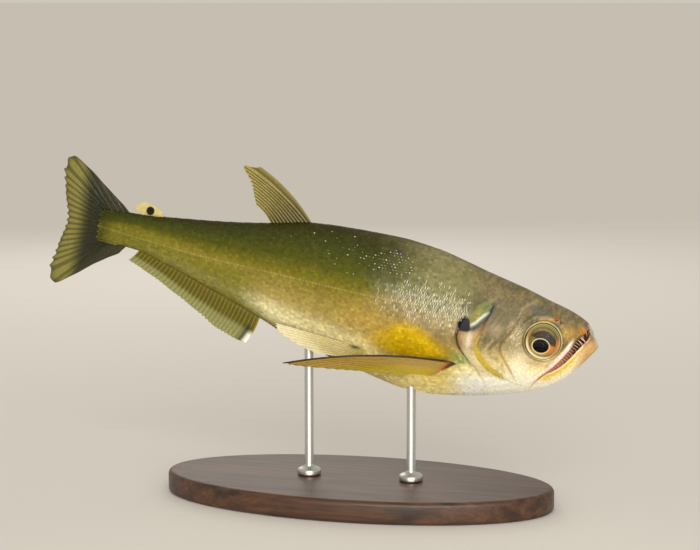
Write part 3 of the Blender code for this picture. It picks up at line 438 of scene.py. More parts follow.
def paint_gill_cover(made, s, h, fine, cloud):
    """Dull olive bone with pale streaks and yellow edges, then the pink flap with its dark margin, a painted
    highlight on the flap, and painted shade in the gill slit behind it.
    """
    cover, before_neck = depth_in(COVER, s, h), -near(NECK, s, h)[0]
    behind, along = near(OPERCLE, s, h)
    bone = ramp(0.2, 0.9, cover) * ramp(0.1, -0.4, behind)
    streaks = np.sin(1.9 * behind + 0.5 * h + 1.2 * np.sin(0.6 * h + 0.5 * s)) + 0.4 * cloud
    paint(made, "585030", 0.85 * bone * ramp(-12, -3, h))
    paint(made, "565430", 0.4 * bone * ramp(0.2, 1.2, -streaks + 0.6 * fine) * ramp(4, 0, h))
    paint(made, "c0ae84", 0.45 * bone * ramp(0.3, 1.3, streaks + 0.6 * fine) * ramp(2, -7, h))
    paint(made, "a89474", 0.5 * bone * spot(s, h, 33.4, -1.6, 2.2, 2.6))
    on_flap = ramp(0.0, 0.4, behind) * ramp(-0.3, 0.3, cover) * ramp(-0.1, 0.2, before_neck)
    on_flap *= ramp(-1.0, -4.0, h) * ramp(-18.5, -15.0, h)
    paint(made, "a88c60", 0.9 * on_flap)
    paint(made, "ecdcae", 0.8 * on_flap * ramp(-8.5, -13.0, h))
    paint(made, "6e5434", 0.5 * on_flap * ramp(0.0, 0.9, fine) * ramp(-12, -8, h))
    # Painted highlight: a pale spot on the flap.
    paint(made, "d8ceb2", 0.85 * on_flap * spot(s, h, 41.8, -7.2, 1.3, 3.4))
    paint(made, "6c4c30", 0.6 * on_flap * hump(before_neck - 0.5, 1.0) * ramp(-13, -8, h))
    paint(made, "5e4a16", 0.6 * hump(behind + 1.0, 0.42) * ramp(0.2, 0.45, along) * ramp(1, 0.9, along))
    edge = hump(behind + 0.15, 0.32 + 0.3 * ramp(0.4, 0.7, along))
    paint(made, "d6ba10", 0.95 * edge * ramp(0.22, 0.42, along))
    paint(made, "c8a60c", 0.85 * hump(behind + 1.2, 0.45) * ramp(0.42, 0.6, along))
    paint(made, "c4b03a", 0.6 * hump(behind + 0.7, 0.5) * ramp(0.45, 0.6, along))
    paint(made, "b06a24", 0.7 * hump(behind + 0.1, 0.32) * ramp(0.38, 0.22, along) * ramp(0, 0.1, along))
    along_flap = near(FLAP, s, h)[1]
    flap_low = ramp(0.28, 0.4, along_flap) * ramp(0.78, 0.62, along_flap)
    paint(made, "341c10", 0.85 * hump(before_neck - 0.05, 0.25) * flap_low)
    # Painted shade: the gill slit behind the flap is painted dark brown in its upper part; lower down it is
    # pale ochre.
    crack = hump(before_neck + 0.45, 0.4) * (before_neck < 0.1)
    paint(made, "4c3016", 0.75 * crack * ramp(1, -1, h) * ramp(-13, -10, h))
    paint(made, "c2a662", 0.4 * crack * ramp(-12, -15, h) * ramp(-22, -18, h))


def paint_shoulder(made, s, h, patchy, fine):
    """A slate band, the olive comma over it, the black spot, and a green tinge under the flap."""
    paint(made, "282e3a", 0.95 * hump(near(curve_through(SHOULDER_BAND), s, h)[0], 0.95 + 0.2 * patchy))
    comma = depth_in(curve_through(GREEN_COMMA), s, h)
    paint(made, "626c30", 0.9 * ramp(-0.5, 0.4, comma + 0.35 * fine))
    paint(made, "9c8444", 0.75 * spot(s, h, 40.2, 1.9, 1.5, 2.2))
    paint(made, "3e4420", 0.5 * ramp(-0.5, 0.2, comma) * ramp(0.1, 1.0, fine))
    rear_edge = near(((42.2, 3.4), (41.2, 5.8), (39.4, 7.2)), s, h)[0]
    paint(made, "3c301c", 0.6 * hump(rear_edge, 0.5 + 0.2 * fine))
    front_edge = near(curve_through(SHOULDER_EDGE), s, h)[0]
    paint(made, "c2ccb6", 0.85 * hump(front_edge, 0.5) * ramp(4.6, 2.6, h))
    paint(made, "0d0c10", ramp(-0.3, 0.3, depth_in(curve_through(HUMERAL_SPOT), s, h)))
    paint(made, "5f8a3c", 0.9 * spot(s, h, 43.8, -14.4, 3.8, 2.2) * ramp(-1.4, 0.2, fine))


def paint_jaws(made, s, h, y, fine):
    """A pale upper jaw, orange and slate knobs at its front, a gold lower lip over cream, dark red gums, and
    painted shade deep in the mouth's front.
    """
    bone = depth_in(MAXILLA, s, h)
    paint(made, "f0dacc", 0.95 * ramp(-0.15, 0.35, bone) * ramp(6.6, 8.4, s))
    paint(made, "c8a08e", 0.5 * hump(bone - 0.2, 0.3) * ramp(0.3, -0.5, fine) * ramp(8, 10, s))
    paint(made, "8a5c34", 0.5 * hump(bone + 0.25, 0.25) * ramp(8, 11, s) * ramp(-14, -9, h))
    paint(made, "c98a2c", 0.85 * spot(s, h, 5.0, 3.6, 1.5, 1.5))
    paint(made, "6d4e5c", 0.7 * spot(s, h, 4.3, 5.5, 1.0, 0.8))
    under_lip = -near(GAPE_LOW, s, h)[0]
    on_jaw = ramp(-0.2, 0.3, under_lip) * ramp(21.5, 18.5, s) * ramp(0.5, -0.5, h - 4.6)
    paint(made, "fbecbe", 0.95 * on_jaw)
    paint(made, "c08a30", 0.78 * on_jaw * ramp(7.5, 2.0, s))
    paint(made, "eacc40", 0.9 * on_jaw * hump(under_lip - 1.1, 0.9) * ramp(3, 7, s) * ramp(19.5, 16, s))
    paint(made, "fffbe6", 0.85 * on_jaw * ramp(2.4, 4.0, under_lip) * ramp(4, 9, s))
    paint(made, "b06a3c", 0.8 * on_jaw * hump(under_lip, 0.28) * ramp(4, 7, s))
    paint(made, "a04468", 0.7 * spot(s, h, 3.5, -0.3, 0.7, 0.7))
    paint(made, "8c7468", 0.75 * spot(s, h, 1.5, 1.9, 1.3, 1.9))
    paint(made, "241a18", 0.85 * spot(s, h, 2.9, 2.9, 0.75, 1.2))
    behind_tip = s - np.interp(h, [-1, 0.8, 2.6, 4.3, 5.5], [-0.6, 0.5, 1.8, 2.9, 3.8])
    paint(made, "e4dcd0", 0.5 * ramp(0.45, 0.1, behind_tip) * ramp(-2, 0, h))
    paint(made, "9a5a34", 0.7 * hump(near(MOUTH_CORNER, s, h)[0], 0.3) * ramp(-21, -17, h))
    slot = np.minimum(np.abs(under_lip), np.abs(near(GAPE_TOP, s, h)[0]))
    under = (side(s, h) - np.abs(y)) * (slot < 3.0) * (eye_ring(s, h) > 1.08) * (s > 2.2)
    paint(made, "a46448", ramp(0.25, 0.6, under))
    paint(made, "8a4c40", 0.5 * ramp(0.3, 0.7, under) * hump(np.abs(under_lip) - 0.3, 0.9))
    # Painted shade: deep in the front of the mouth the gums are painted near black.
    paint(made, "3c1a10", 0.88 * ramp(0.4, 0.9, under) * ramp(8.8, 6.2, s))


def paint_openings(made, s, h):
    """The eye's rim with painted shade in its socket and a painted shadow line outside it, the nostrils with
    painted shade in the front pit, and the pores with painted shade in them.
    """
    ring = eye_ring(s, h)
    angle = np.arctan2(h - EYE_H, EYE_S - s)
    paint(made, "c9bd7a", 0.75 * hump(ring - 1.06, 0.035) * ramp(-0.5, 0.6, np.sin(angle + 0.3)))
    # Painted shade: the socket's wall round the eyeball is painted dark.
    paint(made, "2a211a", 0.85 * ramp(1.02, 1.0, ring))
    # Painted shadow: a dark line just outside the rim, low at its rear.
    paint(made, "3c2c1a", 0.8 * hump(ring - 1.1, 0.035) * ramp(0.3, 0.9, np.cos(angle + 2.3)))
    for i, (at_s, at_h, radius) in enumerate(NOSTRILS):
        from_pit = np.hypot(s - at_s, h - at_h) / radius
        paint(made, ("a98c52", "a8703c")[i], 0.7 * hump(from_pit - 1.2, 0.3))
        # Inside the pits: the front one is painted dark, as painted shade; the rear one is brown.
        paint(made, ("140e0a", "7b4a26")[i], ramp(1.04, 0.94, from_pit))
    for at_s, at_h in HEAD_PORES:
        from_pore = np.hypot(s - at_s, h - at_h) / PORE_RADIUS
        # Painted shade: each pore's pit is darkened.
        paint(made, "54482f", 0.3 * hump(from_pore, 0.8))


def skin_tones(s, h, y):
    """The fish's colours at places on its skin, painted from the ground tones up."""
    share, patchy, fine = share_up(s, h), dapple(s, h, 4.0), dapple(s, h, 1.1)
    cloud = np.sin(1.9 * s + 1.7 * np.sin(1.1 * h)) * np.sin(1.6 * h + 1.3 * np.sin(0.9 * s))
    made = shades(HEAD_SHADES, share)
    made += (shades(FRONT_SHADES, share) - made) * ramp(38, 50, s)[..., None]
    to_rear = ramp(55, 82, s + 2.5 * patchy - 4 * hump(share - 0.6, 0.2))
    made += (shades(REAR_SHADES, share) - made) * to_rear[..., None]
    paint_body(made, s, h, share)
    paint_head(made, s, h, share, patchy, fine, cloud)
    paint_gill_cover(made, s, h, fine, cloud)
    paint_shoulder(made, s, h, patchy, fine)
    paint_jaws(made, s, h, y, fine)
    paint_openings(made, s, h)
    return made


def silver(s, h):
    """How much guanine shines through the skin: most on the front of the flank and the gill cover."""
    shine = 0.25 + 0.55 * hump(share_up(s, h) - 0.45, 0.28) * ramp(120, 60, s)
    return shine * ramp(5, 14, s)


def node(tree, kind, inputs=None, **settings):
    """Adds a node with its settings and what its sockets take: a value, or another node's output."""
    made = tree.nodes.new(kind)
    for name, value in settings.items():
        setattr(made, name, value)
    for socket, value in (inputs or {}).items():
        if isinstance(value, bpy.types.NodeSocket):
            tree.links.new(value, made.inputs[socket])
        else:
            made.inputs[socket].default_value = value
    return made


def finish_named(name, values):
    """A new material, its node tree and its shader, whose own sockets take the values given."""
    made = bpy.data.materials.new(name)
    made.use_nodes = True
    shader = made.node_tree.nodes["Principled BSDF"]
    for socket, value in values.items():
        shader.inputs[socket].default_value = value
    return made, made.node_tree, shader


def drive(tree, shader, socket, by, low, high):
    """Lets a pattern or a painted value move one of the shader's values from low to high."""
    moved = node(tree, "ShaderNodeMapRange", {"Value": by, "To Min": low, "To Max": high})
    tree.links.new(moved.outputs["Result"], shader.inputs[socket])


def emboss(tree, shader, by, strong, deep):
    """Lets a pattern raise the surface a little, to the eye only; deep is in metres."""
    bump = node(tree, "ShaderNodeBump", {"Height": by, "Strength": strong, "Distance": deep})
    tree.links.new(bump.outputs["Normal"], shader.inputs["Normal"])


def mottle_tones(tree, shader, fine, detail, tones, reach=(0.0, 1.0)):
    """Colours a shader from the painted tones times a mottling, and gives the mottling back.

    fine: how many patches of it there are to a metre
    tones: what it multiplies the tones by, where its own value is lowest and highest in reach
    """
    tone = node(tree, "ShaderNodeAttribute", attribute_name="tone")
    where = node(tree, "ShaderNodeTexCoord").outputs["Object"]
    mottle = node(tree, "ShaderNodeTexNoise", {"Vector": where, "Scale": fine, "Detail": detail}).outputs[0]
    limits = dict(zip(("From Min", "From Max", "To Min", "To Max"), (*reach, *tones)))
    dark = node(tree, "ShaderNodeMapRange", {"Value": mottle, **limits}).outputs["Result"]
    tinted = node(tree, "ShaderNodeVectorMath", {0: tone.outputs["Color"], 1: dark}, operation="MULTIPLY")
    tree.links.new(tinted.outputs["Vector"], shader.inputs["Base Color"])
    return mottle


def wet_finish(name, fine, tones, rough, values):
    """Lacquer over mottled colours that turn metallic where they are silvered."""
    made, tree, shader = finish_named(name, values)
    mottle = mottle_tones(tree, shader, fine, 3.0, tones, (0.3, 0.7))
    silvering = node(tree, "ShaderNodeAttribute", attribute_name="silver")
    drive(tree, shader, "Metallic", silvering.outputs["Fac"], 0.15, 0.45)
    drive(tree, shader, "Roughness", mottle, *rough)
    return made, tree, shader, mottle


def keep(thing, name, finish, replaced=()):
    """Names a piece, gives it its finish, and ties it to the frame."""
    thing.name = thing.data.name = name
    for material in finish:
        thing.data.materials.append(material)
    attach(thing, "root")
    if replaced:
        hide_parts(*replaced)
    return thing


def set_points(mesh, points):
    """Moves a mesh's points."""
    mesh.vertices.foreach_set("co", np.asarray(points, np.float32).ravel())
    mesh.update()


def read(items, what, kind=np.float32, each=1):
    """One thing about every item of a mesh, such as its points or loops, as an array."""
    made = np.empty(len(items) * each, kind)
    items.foreach_get(what, made)
    return made


def points_of(mesh):
    """Where a mesh's points lie."""
    return read(mesh.vertices, "co", each=3).reshape(-1, 3).astype(float)


def write_tones(mesh, tones):
    """Gives each point of a mesh its colour."""
    layer = mesh.color_attributes.new(name="tone", type="FLOAT_COLOR", domain="POINT")
    full = np.concatenate([tones, np.ones((len(tones), 1))], 1).astype(np.float32)
    layer.data.foreach_set("color", full.ravel())


def write_values(mesh, values, name):
    """Gives each point of a mesh a value, under a name that its finish reads."""
    layer = mesh.attributes.new(name=name, type="FLOAT", domain="POINT")
    layer.data.foreach_set("value", np.asarray(values, np.float32).ravel())


def select_only(thing):
    """Makes one piece the only one that the next modelling steps work on."""
    bpy.ops.object.select_all(action="DESELECT")
    thing.select_set(True)
    bpy.context.view_layer.objects.active = thing


def face_outwards(thing):
    """Turns a closed piece's faces to point out of it."""
    select_only(thing)
    bpy.ops.object.mode_set(mode="EDIT")
    bpy.ops.mesh.select_all(action="SELECT")
    bpy.ops.mesh.normals_make_consistent(inside=False)
    bpy.ops.object.mode_set(mode="OBJECT")


def new_piece(name, points, faces, edges=()):
    """A piece from its points and its faces or edges."""
    mesh = bpy.data.meshes.new(name)
    mesh.from_pydata(points, edges, faces)
    made = bpy.data.objects.new(name, mesh)
    bpy.context.scene.collection.objects.link(made)
    return made


def slab(name, outline, low, high, at):
    """A closed outline drawn out from low to high, where at(a, b, c) gives its points, to cut with."""
    count = len(outline)
    points = [at(a, b, c) for c in (low, high) for a, b in outline]
    sides = [(i, (i + 1) % count, count + (i + 1) % count, count + i) for i in range(count)]
    ends = [tuple(range(count))[::-1], tuple(range(count, 2 * count))]
    made = new_piece(name, [tuple(p) for p in points], [*ends, *sides])
    face_outwards(made)
    return made


def cut(thing, tool):
    """Takes a tool's shape out of a piece and throws the tool away."""
    select_only(thing)
    modifier = thing.modifiers.new("cut", "BOOLEAN")
    modifier.operation = "DIFFERENCE"
    modifier.solver = "MANIFOLD"
    modifier.object = tool
    bpy.ops.object.modifier_apply(modifier=modifier.name)
    thing.data.materials.clear()
    bpy.data.objects.remove(tool)


bpy.ops.object.select_all(action="DESELECT")
bpy.ops.mesh.primitive_uv_sphere_add(segments=SKIN_SIDES, ring_count=SKIN_RINGS, radius=1.0)
skin = bpy.context.object
ball = points_of(skin.data)
ring_of = np.rint(np.arccos(np.clip(ball[:, 2], -1, 1)) * SKIN_RINGS / math.pi).astype(int)
turn_of = np.arctan2(ball[:, 1], ball[:, 0])
ring_share = np.linspace(0, 1, SKIN_RINGS + 1)
ring_s = smooth(RING_AT, ring_share)
s_of = ring_s[ring_of]
cap = np.interp(ring_of, [SKIN_RINGS - TAIL_CAP_RINGS, SKIN_RINGS], [0, 1])
plain = body(s_of, turn_of)
middle = np.stack([s_of, (smooth(BACK, s_of) + smooth(BELLY, s_of)) / 2, np.zeros(len(s_of))], -1)
d_s = body(s_of + 0.1, turn_of) - body(s_of - 0.1, turn_of)
d_turn = body(s_of, turn_of + 0.01) - body(s_of, turn_of - 0.01)
outward = unit(np.cross(d_turn, d_s))
outward *= np.sign(np.sum(outward * (plain - middle), 1) + 1e-9)[:, None]
pole = (ring_of == 0) | (ring_of == SKIN_RINGS)
outward[pole] = 0
shaped = plain + outward * relief(*plain.T)[:, None]
shaped = middle + (shaped - middle) * np.sqrt(np.clip(1 - cap**2, 0, 1))[:, None]
shaped[ring_of == 0] = middle[ring_of == 0] - (0.1, 0, 0)
shaped[ring_of == SKIN_RINGS] = middle[ring_of == SKIN_RINGS]
set_points(skin.data, place(*shaped.T))
face_outwards(skin)

gape = [*GAPE_LOW, *GAPE_TOP[::-1]]
channel = slab("mouth slot", gape, -TOOL_OUT, TOOL_OUT, place)
core_side = curve_through(MOUTH_CORE)
core = [*core_side, *(core_side[::-1] * (1, -1))]
cut(channel, slab("mouth core", core, -TOOL_UP, TOOL_UP, lambda a, b, c: place(a, c, b)))
cut(skin, channel)
turns = np.linspace(0, 2 * math.pi, 96, endpoint=False)
for hand in (-1, 1):
    hollows = [(EYE_S, EYE_H, EYE_LONG, EYE_TALL, SOCKET_DEEP)]
    hollows += [(at_s, at_h, radius, radius, NOSTRIL_DEEP) for at_s, at_h, radius in NOSTRILS]
    for at_s, at_h, long, tall, deep in hollows:
        oval = np.stack([at_s + long * np.cos(turns), at_h + tall * np.sin(turns)], -1)
        low, high = sorted((hand * (float(side(at_s, at_h)) - deep), hand * TOOL_OUT))
        cut(skin, slab("hollow", oval, low, high, place))
final = fish_place(points_of(skin.data))
write_tones(skin.data, skin_tones(*final))
write_values(skin.data, silver(*final[:2]), "silver")
select_only(skin)
bpy.ops.object.shade_smooth_by_angle(angle=math.radians(38))

# Painted skin under clear lacquer: a wet fish's gloss over colour that is mottled by pigment cells. The real
# cells are about 0.1 mm wide, too fine to show, so the mottling is drawn at 0.7 mm.
wet_skin, tree, shader, mottle = wet_finish(
    "lacquered fish skin", 1400.0, (0.8, 1.14), (0.32, 0.55),
    {"IOR": 1.4, "Specular IOR Level": 0.35, "Coat Weight": 0.15, "Coat Roughness": 0.12},
)
emboss(tree, shader, mottle, 0.25, 0.0002)
skinned = ("head", "lower_jaw", "gill_cover_right", "gill_cover_left", "trunk", "tail")
keep(skin, "skin", [wet_skin], skinned)

# Scales of the body. They are thin bony plates about 1.2 mm apart, set in rows along the lateral line like
# tiles, each with its front in the skin and its rear edge free. One is modelled and copied into every place.
SCALE_PITCH, ROW_PITCH = 1.2, 1.02
SCALE_LONG, SCALE_WIDE = 1.72, 1.3
SCALE_SUNK, SCALE_LIFT, SCALE_CROWN, SCALE_UNDER = 0.06, 0.13, 0.10, 0.05
LATERAL_LINE = (
    (30.0, 6.5), (44.0, 3.6), (52.0, 2.2), (60.0, 1.3), (84.0, 0.3), (117.0, 0.1), (140.0, -0.2),
    (165.0, 0.7), (186.0, 1.7),
)
SCALES_FROM, SCALES_TO = 33.0, 184.2
OFF_NECK, OFF_MIDLINE = 0.55, 0.4  # how near the first scale and the last row come to them
PATCH, MAP_EDGE = 0.003, 0.02  # how wide a scale is on the bake map, and what stays free round the map
PAINTED_SPARKLES, SPARKLE_LIFT, GLINT_LIFT = 90, 0.2, 0.2  # pale sparkles over the scales of the upper flank: painted highlights
GLINT_PITCH, GLINT_LONG, GLINT_WIDE = 0.86, 0.22, 1.15  # painted highlights on the silver rear edges behind the gill; shares of a scale
MIDLINE = 99  # the number of the row along the back's or belly's middle
SIDES = (("right", -1), ("left", 1))  # and the sign of y
draw = np.random.default_rng(11)

bpy.ops.object.select_all(action="DESELECT")
bpy.ops.mesh.primitive_uv_sphere_add(segments=10, ring_count=2, radius=1.0)
one_scale = bpy.context.object
plate = points_of(one_scale.data)
rear = (plate[:, 0] + 1) / 2
on_edge = np.abs(plate[:, 2]) < 0.5
wide = np.where(plate[:, 0] > 0, 1.0, 0.92)
edge_tops = -SCALE_SUNK + (SCALE_LIFT + SCALE_SUNK) * rear**1.5
plate_tops = np.where(on_edge, edge_tops, np.where(plate[:, 2] > 0, SCALE_CROWN, -SCALE_UNDER))
plate = np.stack([plate[:, 0] * SCALE_LONG / 2, plate[:, 1] * wide * SCALE_WIDE / 2, plate_tops], -1)
plate_faces = [tuple(face.vertices) for face in one_scale.data.polygons]
plate_rear, plate_centre = np.where(on_edge, rear, 0.0), np.where(on_edge, 0.0, 1.0)
plate_middle = (np.abs(plate[:, 1]) < 0.1 * SCALE_WIDE) & (plate[:, 2] > -0.03)
bpy.data.objects.remove(one_scale)


def frames_at(s, angle):
    """Places on the skin's bed with their outward and backward directions."""
    here = body(s, angle)
    forward = unit(body(s + 0.3, angle) - body(s - 0.3, angle))
    round_it = body(s, angle + 0.01) - body(s, angle - 0.01)
    out = unit(np.cross(round_it, forward))
    centre = np.stack([s, (smooth(BACK, s) + smooth(BELLY, s)) / 2, np.zeros(len(s))], -1)
    out *= np.sign(np.sum(out * (here - centre), 1) + 1e-9)[:, None]
    forward = unit(forward - out * np.sum(forward * out, 1)[:, None])
    return here - out * (COAT_DEEP - 0.02), forward, np.cross(out, forward), out


def scale_places(hand, pitch):
    """Where the scales of one side grow: s, angle, row, and the share of the way from belly to back."""
    stations = np.arange(SCALES_FROM, SCALES_TO, pitch / 2)
    angles = np.radians(np.linspace(-90, 90, 181))
    made = []
    for k, s in enumerate(stations):
        section = body(np.full(len(angles), s), angles)
        arc = np.concatenate([[0], np.cumsum(np.linalg.norm(np.diff(section, axis=0), axis=1))])
        zero = np.interp(float(smooth(LATERAL_LINE, s)), section[:, 1], arc)
        first = math.ceil((OFF_MIDLINE - zero) / ROW_PITCH)
        last = math.floor((arc[-1] - OFF_MIDLINE - zero) / ROW_PITCH)
        for row in range(first, last + 1):
            if (row + k) % 2 == 0:
                continue
            g = zero + row * ROW_PITCH
            made.append((s, float(np.interp(g, arc, angles)), row, g / arc[-1]))
        if hand < 0 and k % 2 == 0:
            made += [(s, angles[0], MIDLINE, 0.0), (s, angles[-1], MIDLINE, 1.0)]
    made = np.array(made)
    if hand < 0:
        made[:, 1] = math.pi - made[:, 1]
    return made


def silver_glint_zone(s, share):
    """Where the scales' silver rear edges behind the gill catch the light, and get painted highlights."""
    return hump(share - 0.63, 0.12) * ramp(86, 64, s + 30 * (share - 0.55)) * ramp(42, 46, s)


def scale_coat(name, hand):
    """The scales of one side as one mesh, with the plates of their painted highlights, their tones and the
    bake map.
    """
    spots = scale_places(hand, SCALE_PITCH)
    at = body(spots[:, 0], spots[:, 1])
    spots = spots[near(NECK, at[:, 0], at[:, 1])[0] > OFF_NECK]
    at = body(spots[:, 0], spots[:, 1])
    chance = hump(at[:, 0] - 86, 15) * hump(at[:, 1] - 12.5, 4.0)
    chance += 9 * hump(at[:, 0] - 73, 5) * hump(at[:, 1] - 13, 2.6)
    chance *= (spots[:, 2] != MIDLINE) & (at[:, 0] > 58)
    sparkle_spots = spots[draw.choice(len(spots), PAINTED_SPARKLES, replace=False, p=chance / chance.sum())]
    sparkle_spots[:, 0] += SCALE_PITCH / 2
    glint = scale_places(hand, GLINT_PITCH)
    glint = glint[silver_glint_zone(glint[:, 0], glint[:, 3]) > draw.uniform(0.1, 1.0, len(glint))]
    spots = np.vstack([spots, glint, sparkle_spots])
    count = len(spots)
    is_sparkle = np.arange(count) >= count - PAINTED_SPARKLES
    is_glint = (np.arange(count) >= count - PAINTED_SPARKLES - len(glint)) & ~is_sparkle
    s = spots[:, 0] + draw.normal(0, 0.03, count) + np.where(is_glint, draw.normal(0, 0.1, count), 0)
    at, backward, across, out = frames_at(s, spots[:, 1])
    tail = np.interp(s, [120, 184], [1.0, 0.86])
    tilt = draw.normal(0, 0.02, (count, 2))
    out = unit(out + backward * tilt[:, :1] + across * tilt[:, 1:])
    backward = unit(backward - out * np.sum(backward * out, 1)[:, None])
    across = np.cross(out, backward)
    at = at + out * (SPARKLE_LIFT * is_sparkle + GLINT_LIFT * is_glint)[:, None]
    size = np.where(is_sparkle, draw.uniform(0.14, 0.34, count), tail * draw.normal(1, 0.03, count))
    long = np.where(is_glint, GLINT_LONG * draw.uniform(0.7, 1.3, count), size)
    wide = np.where(is_glint, GLINT_WIDE * draw.uniform(0.6, 1.25, count), size)
    steps = plate[None] * np.stack([long, wide, np.minimum(long, wide)], -1)[:, None]
    points = at[:, None] + steps[..., :1] * backward[:, None]
    points = points + steps[..., 1:2] * across[:, None] + steps[..., 2:] * out[:, None]
    points = points.reshape(-1, 3)
    faces = np.array([face for face in plate_faces if len(face) == 3])
    faces = (faces[None] + len(plate) * np.arange(count)[:, None, None]).reshape(-1, 3)
    coat = new_piece(name, place(*points.T).tolist(), faces.tolist())
    mesh = coat.data

    tones = skin_tones(*points.T).reshape(count, len(plate), 3)
    row, share = spots[:, 2], spots[:, 3]
    streaks = silver_glint_zone(s, share)
    vary = np.exp(np.clip(draw.normal(0, 0.12, count), -0.2, 0.24) + streaks * draw.normal(0, 0.2, count))
    centre_dark = 1 - 0.3 * (streaks * ~is_glint)[:, None] * np.ones(len(plate)) + 0.06 * plate_centre
    edge_dark = 1 - 0.3 * (1 - streaks)[:, None] * plate_rear**3
    tones = tones * (vary[:, None] * edge_dark * centre_dark)[..., None]
    # Painted highlights: the glints are painted pale cream over the silver rear edges.
    glint_highlight = np.where(is_glint, draw.uniform(0.05, 0.5, count), 0)[:, None] * np.ones(len(plate))
    paint(tones, "fff0dc", glint_highlight)
    on_line = (row == 0) & (s > 58)
    paint(tones, "ccb878", 0.28 * on_line[:, None] * plate_middle)
    # Painted highlights: the sparkles are painted white or yellow-green, some brighter than others.
    greenish = draw.random((PAINTED_SPARKLES, 1, 1)) < 0.4
    bright = draw.uniform(0.35, 1.0, (PAINTED_SPARKLES, 1, 1))
    tones[is_sparkle] = np.where(greenish, linear("b8c850"), linear("fffdf0")) * bright
    write_tones(mesh, np.clip(tones, 0, 1).reshape(-1, 3))
    write_values(mesh, np.clip(np.repeat(silver(s, at[:, 1]), len(plate)), 0, 1), "silver")

    bake = mesh.uv_layers.new(name="OFBake")
    root_u = MAP_EDGE + (1 - 2 * MAP_EDGE) * (s - SCALES_FROM) / (SCALES_TO + 1 - SCALES_FROM)
    root_v = MAP_EDGE + (1 - 2 * MAP_EDGE) * share
    u = root_u[:, None] + plate[None, :, 0] / SCALE_LONG * PATCH
    v = root_v[:, None] + plate[None, :, 1] / SCALE_WIDE * PATCH
    corner = read(mesh.loops, "vertex_index", np.int32)
    flat = np.stack([u.ravel()[corner], v.ravel()[corner]], -1).astype(np.float32)
    bake.data.foreach_set("uv", flat.ravel())
    face_outwards(coat)
    bpy.ops.object.shade_smooth()
    return coat


# Scales: thin bone and clear skin over silver, so that each catches the light at a slightly different angle.
wet_scale = wet_finish(
    "lacquered fish scale", 900.0, (0.84, 1.1), (0.34, 0.56),
    {"IOR": 1.42, "Specular IOR Level": 0.22, "Coat Weight": 0.06, "Coat Roughness": 0.15},
)[0]
for word, hand in SIDES:
    keep(scale_coat("scales_" + word, hand), "scales_" + word, [wet_scale])

# Teeth: slender glassy cones of dentine, a close comb of them in the upper jaw's edge and fewer in the lower
# jaw, where two pairs of fangs stand at the front. They are fused to the bone, with their roots in the gum.
UPPER_TEETH, LOWER_TEETH = 18, 7
UPPER_FROM, LOWER_FROM = 20, 32  # the points of the two lips at which the fine teeth begin
TOOTH_RADIUS, TOOTH_SUNK, TOOTH_INSET, LONGEST_TOOTH = 0.12, 0.6, 0.45, 2.2
# Root, point, y and radius of the front teeth, and root, point, inset and radius of the fangs
FRONT_TEETH = (((4.8, 4.0), (3.6, 1.8), 1.6, 0.2), ((5.6, 3.1), (4.5, 1.1), 3.2, 0.17))
FANGS = (((2.9, -0.7), (5.6, 2.0), 0.6, 0.24), ((3.9, -1.5), (6.4, 0.9), 0.6, 0.18))

bpy.ops.object.select_all(action="DESELECT")
bpy.ops.mesh.primitive_cone_add(vertices=10, radius1=1.0, radius2=0.06, depth=1.0, location=(0, 0, 0.5))
one_tooth = bpy.context.object
bpy.ops.object.mode_set(mode="EDIT")
bpy.ops.mesh.select_all(action="SELECT")
bpy.ops.mesh.subdivide(number_cuts=3)
bpy.ops.object.mode_set(mode="OBJECT")
cone = points_of(one_tooth.data) + (0, 0, 0.5)
cone[:, :2] *= (1.03 - cone[:, 2:] ** 2) ** 0.6 / (1.02 - 0.96 * cone[:, 2:])  # fuller, and still pointed
cone_faces = [tuple(face.vertices) for face in one_tooth.data.polygons]
bpy.data.objects.remove(one_tooth)


def along_line(line, share):
    """A point and the direction at a share of a line's length."""
    lengths = np.linalg.norm(np.diff(line, axis=0), axis=1)
    reached = np.concatenate([[0], np.cumsum(lengths)]) / lengths.sum()
    at = np.array([np.interp(share, reached, line[:, 0]), np.interp(share, reached, line[:, 1])])
    i = min(int(np.searchsorted(reached, share, side="right")) - 1, len(lengths) - 1)
    return at, (line[i + 1] - line[i]) / lengths[i]


def tooth_at(root, point, radius):
    """A tooth's points from root to point in fish millimetres, with a slight backward curve."""
    root, point = np.array(root, float), np.array(point, float)
    axis = point - root
    length = np.linalg.norm(axis)
    axis /= length
    other = unit(np.cross(axis, (0.0, 0.0, 1.0)))
    third = np.cross(axis, other)
    t = cone[:, 2:3]
    curve = 0.10 * length * (t - t * t) * 4
    round_it = (other * cone[:, :1] + third * cone[:, 1:2]) * radius
    return root + axis * t * length + round_it - np.array([0.5, 0.0, 0.0]) * curve


def tooth_set(name, teeth):
    """Teeth of one jaw as one mesh."""
    points = np.vstack(teeth)
    faces = [tuple(i + len(cone) * k for i in face) for k in range(len(teeth)) for face in cone_faces]
    made = new_piece(name, place(*points.T).tolist(), faces)
    write_values(made.data, np.tile(cone[:, 2], len(teeth)), "up_the_tooth")
    face_outwards(made)
    bpy.ops.object.shade_smooth_by_angle(angle=math.radians(50))
    return made


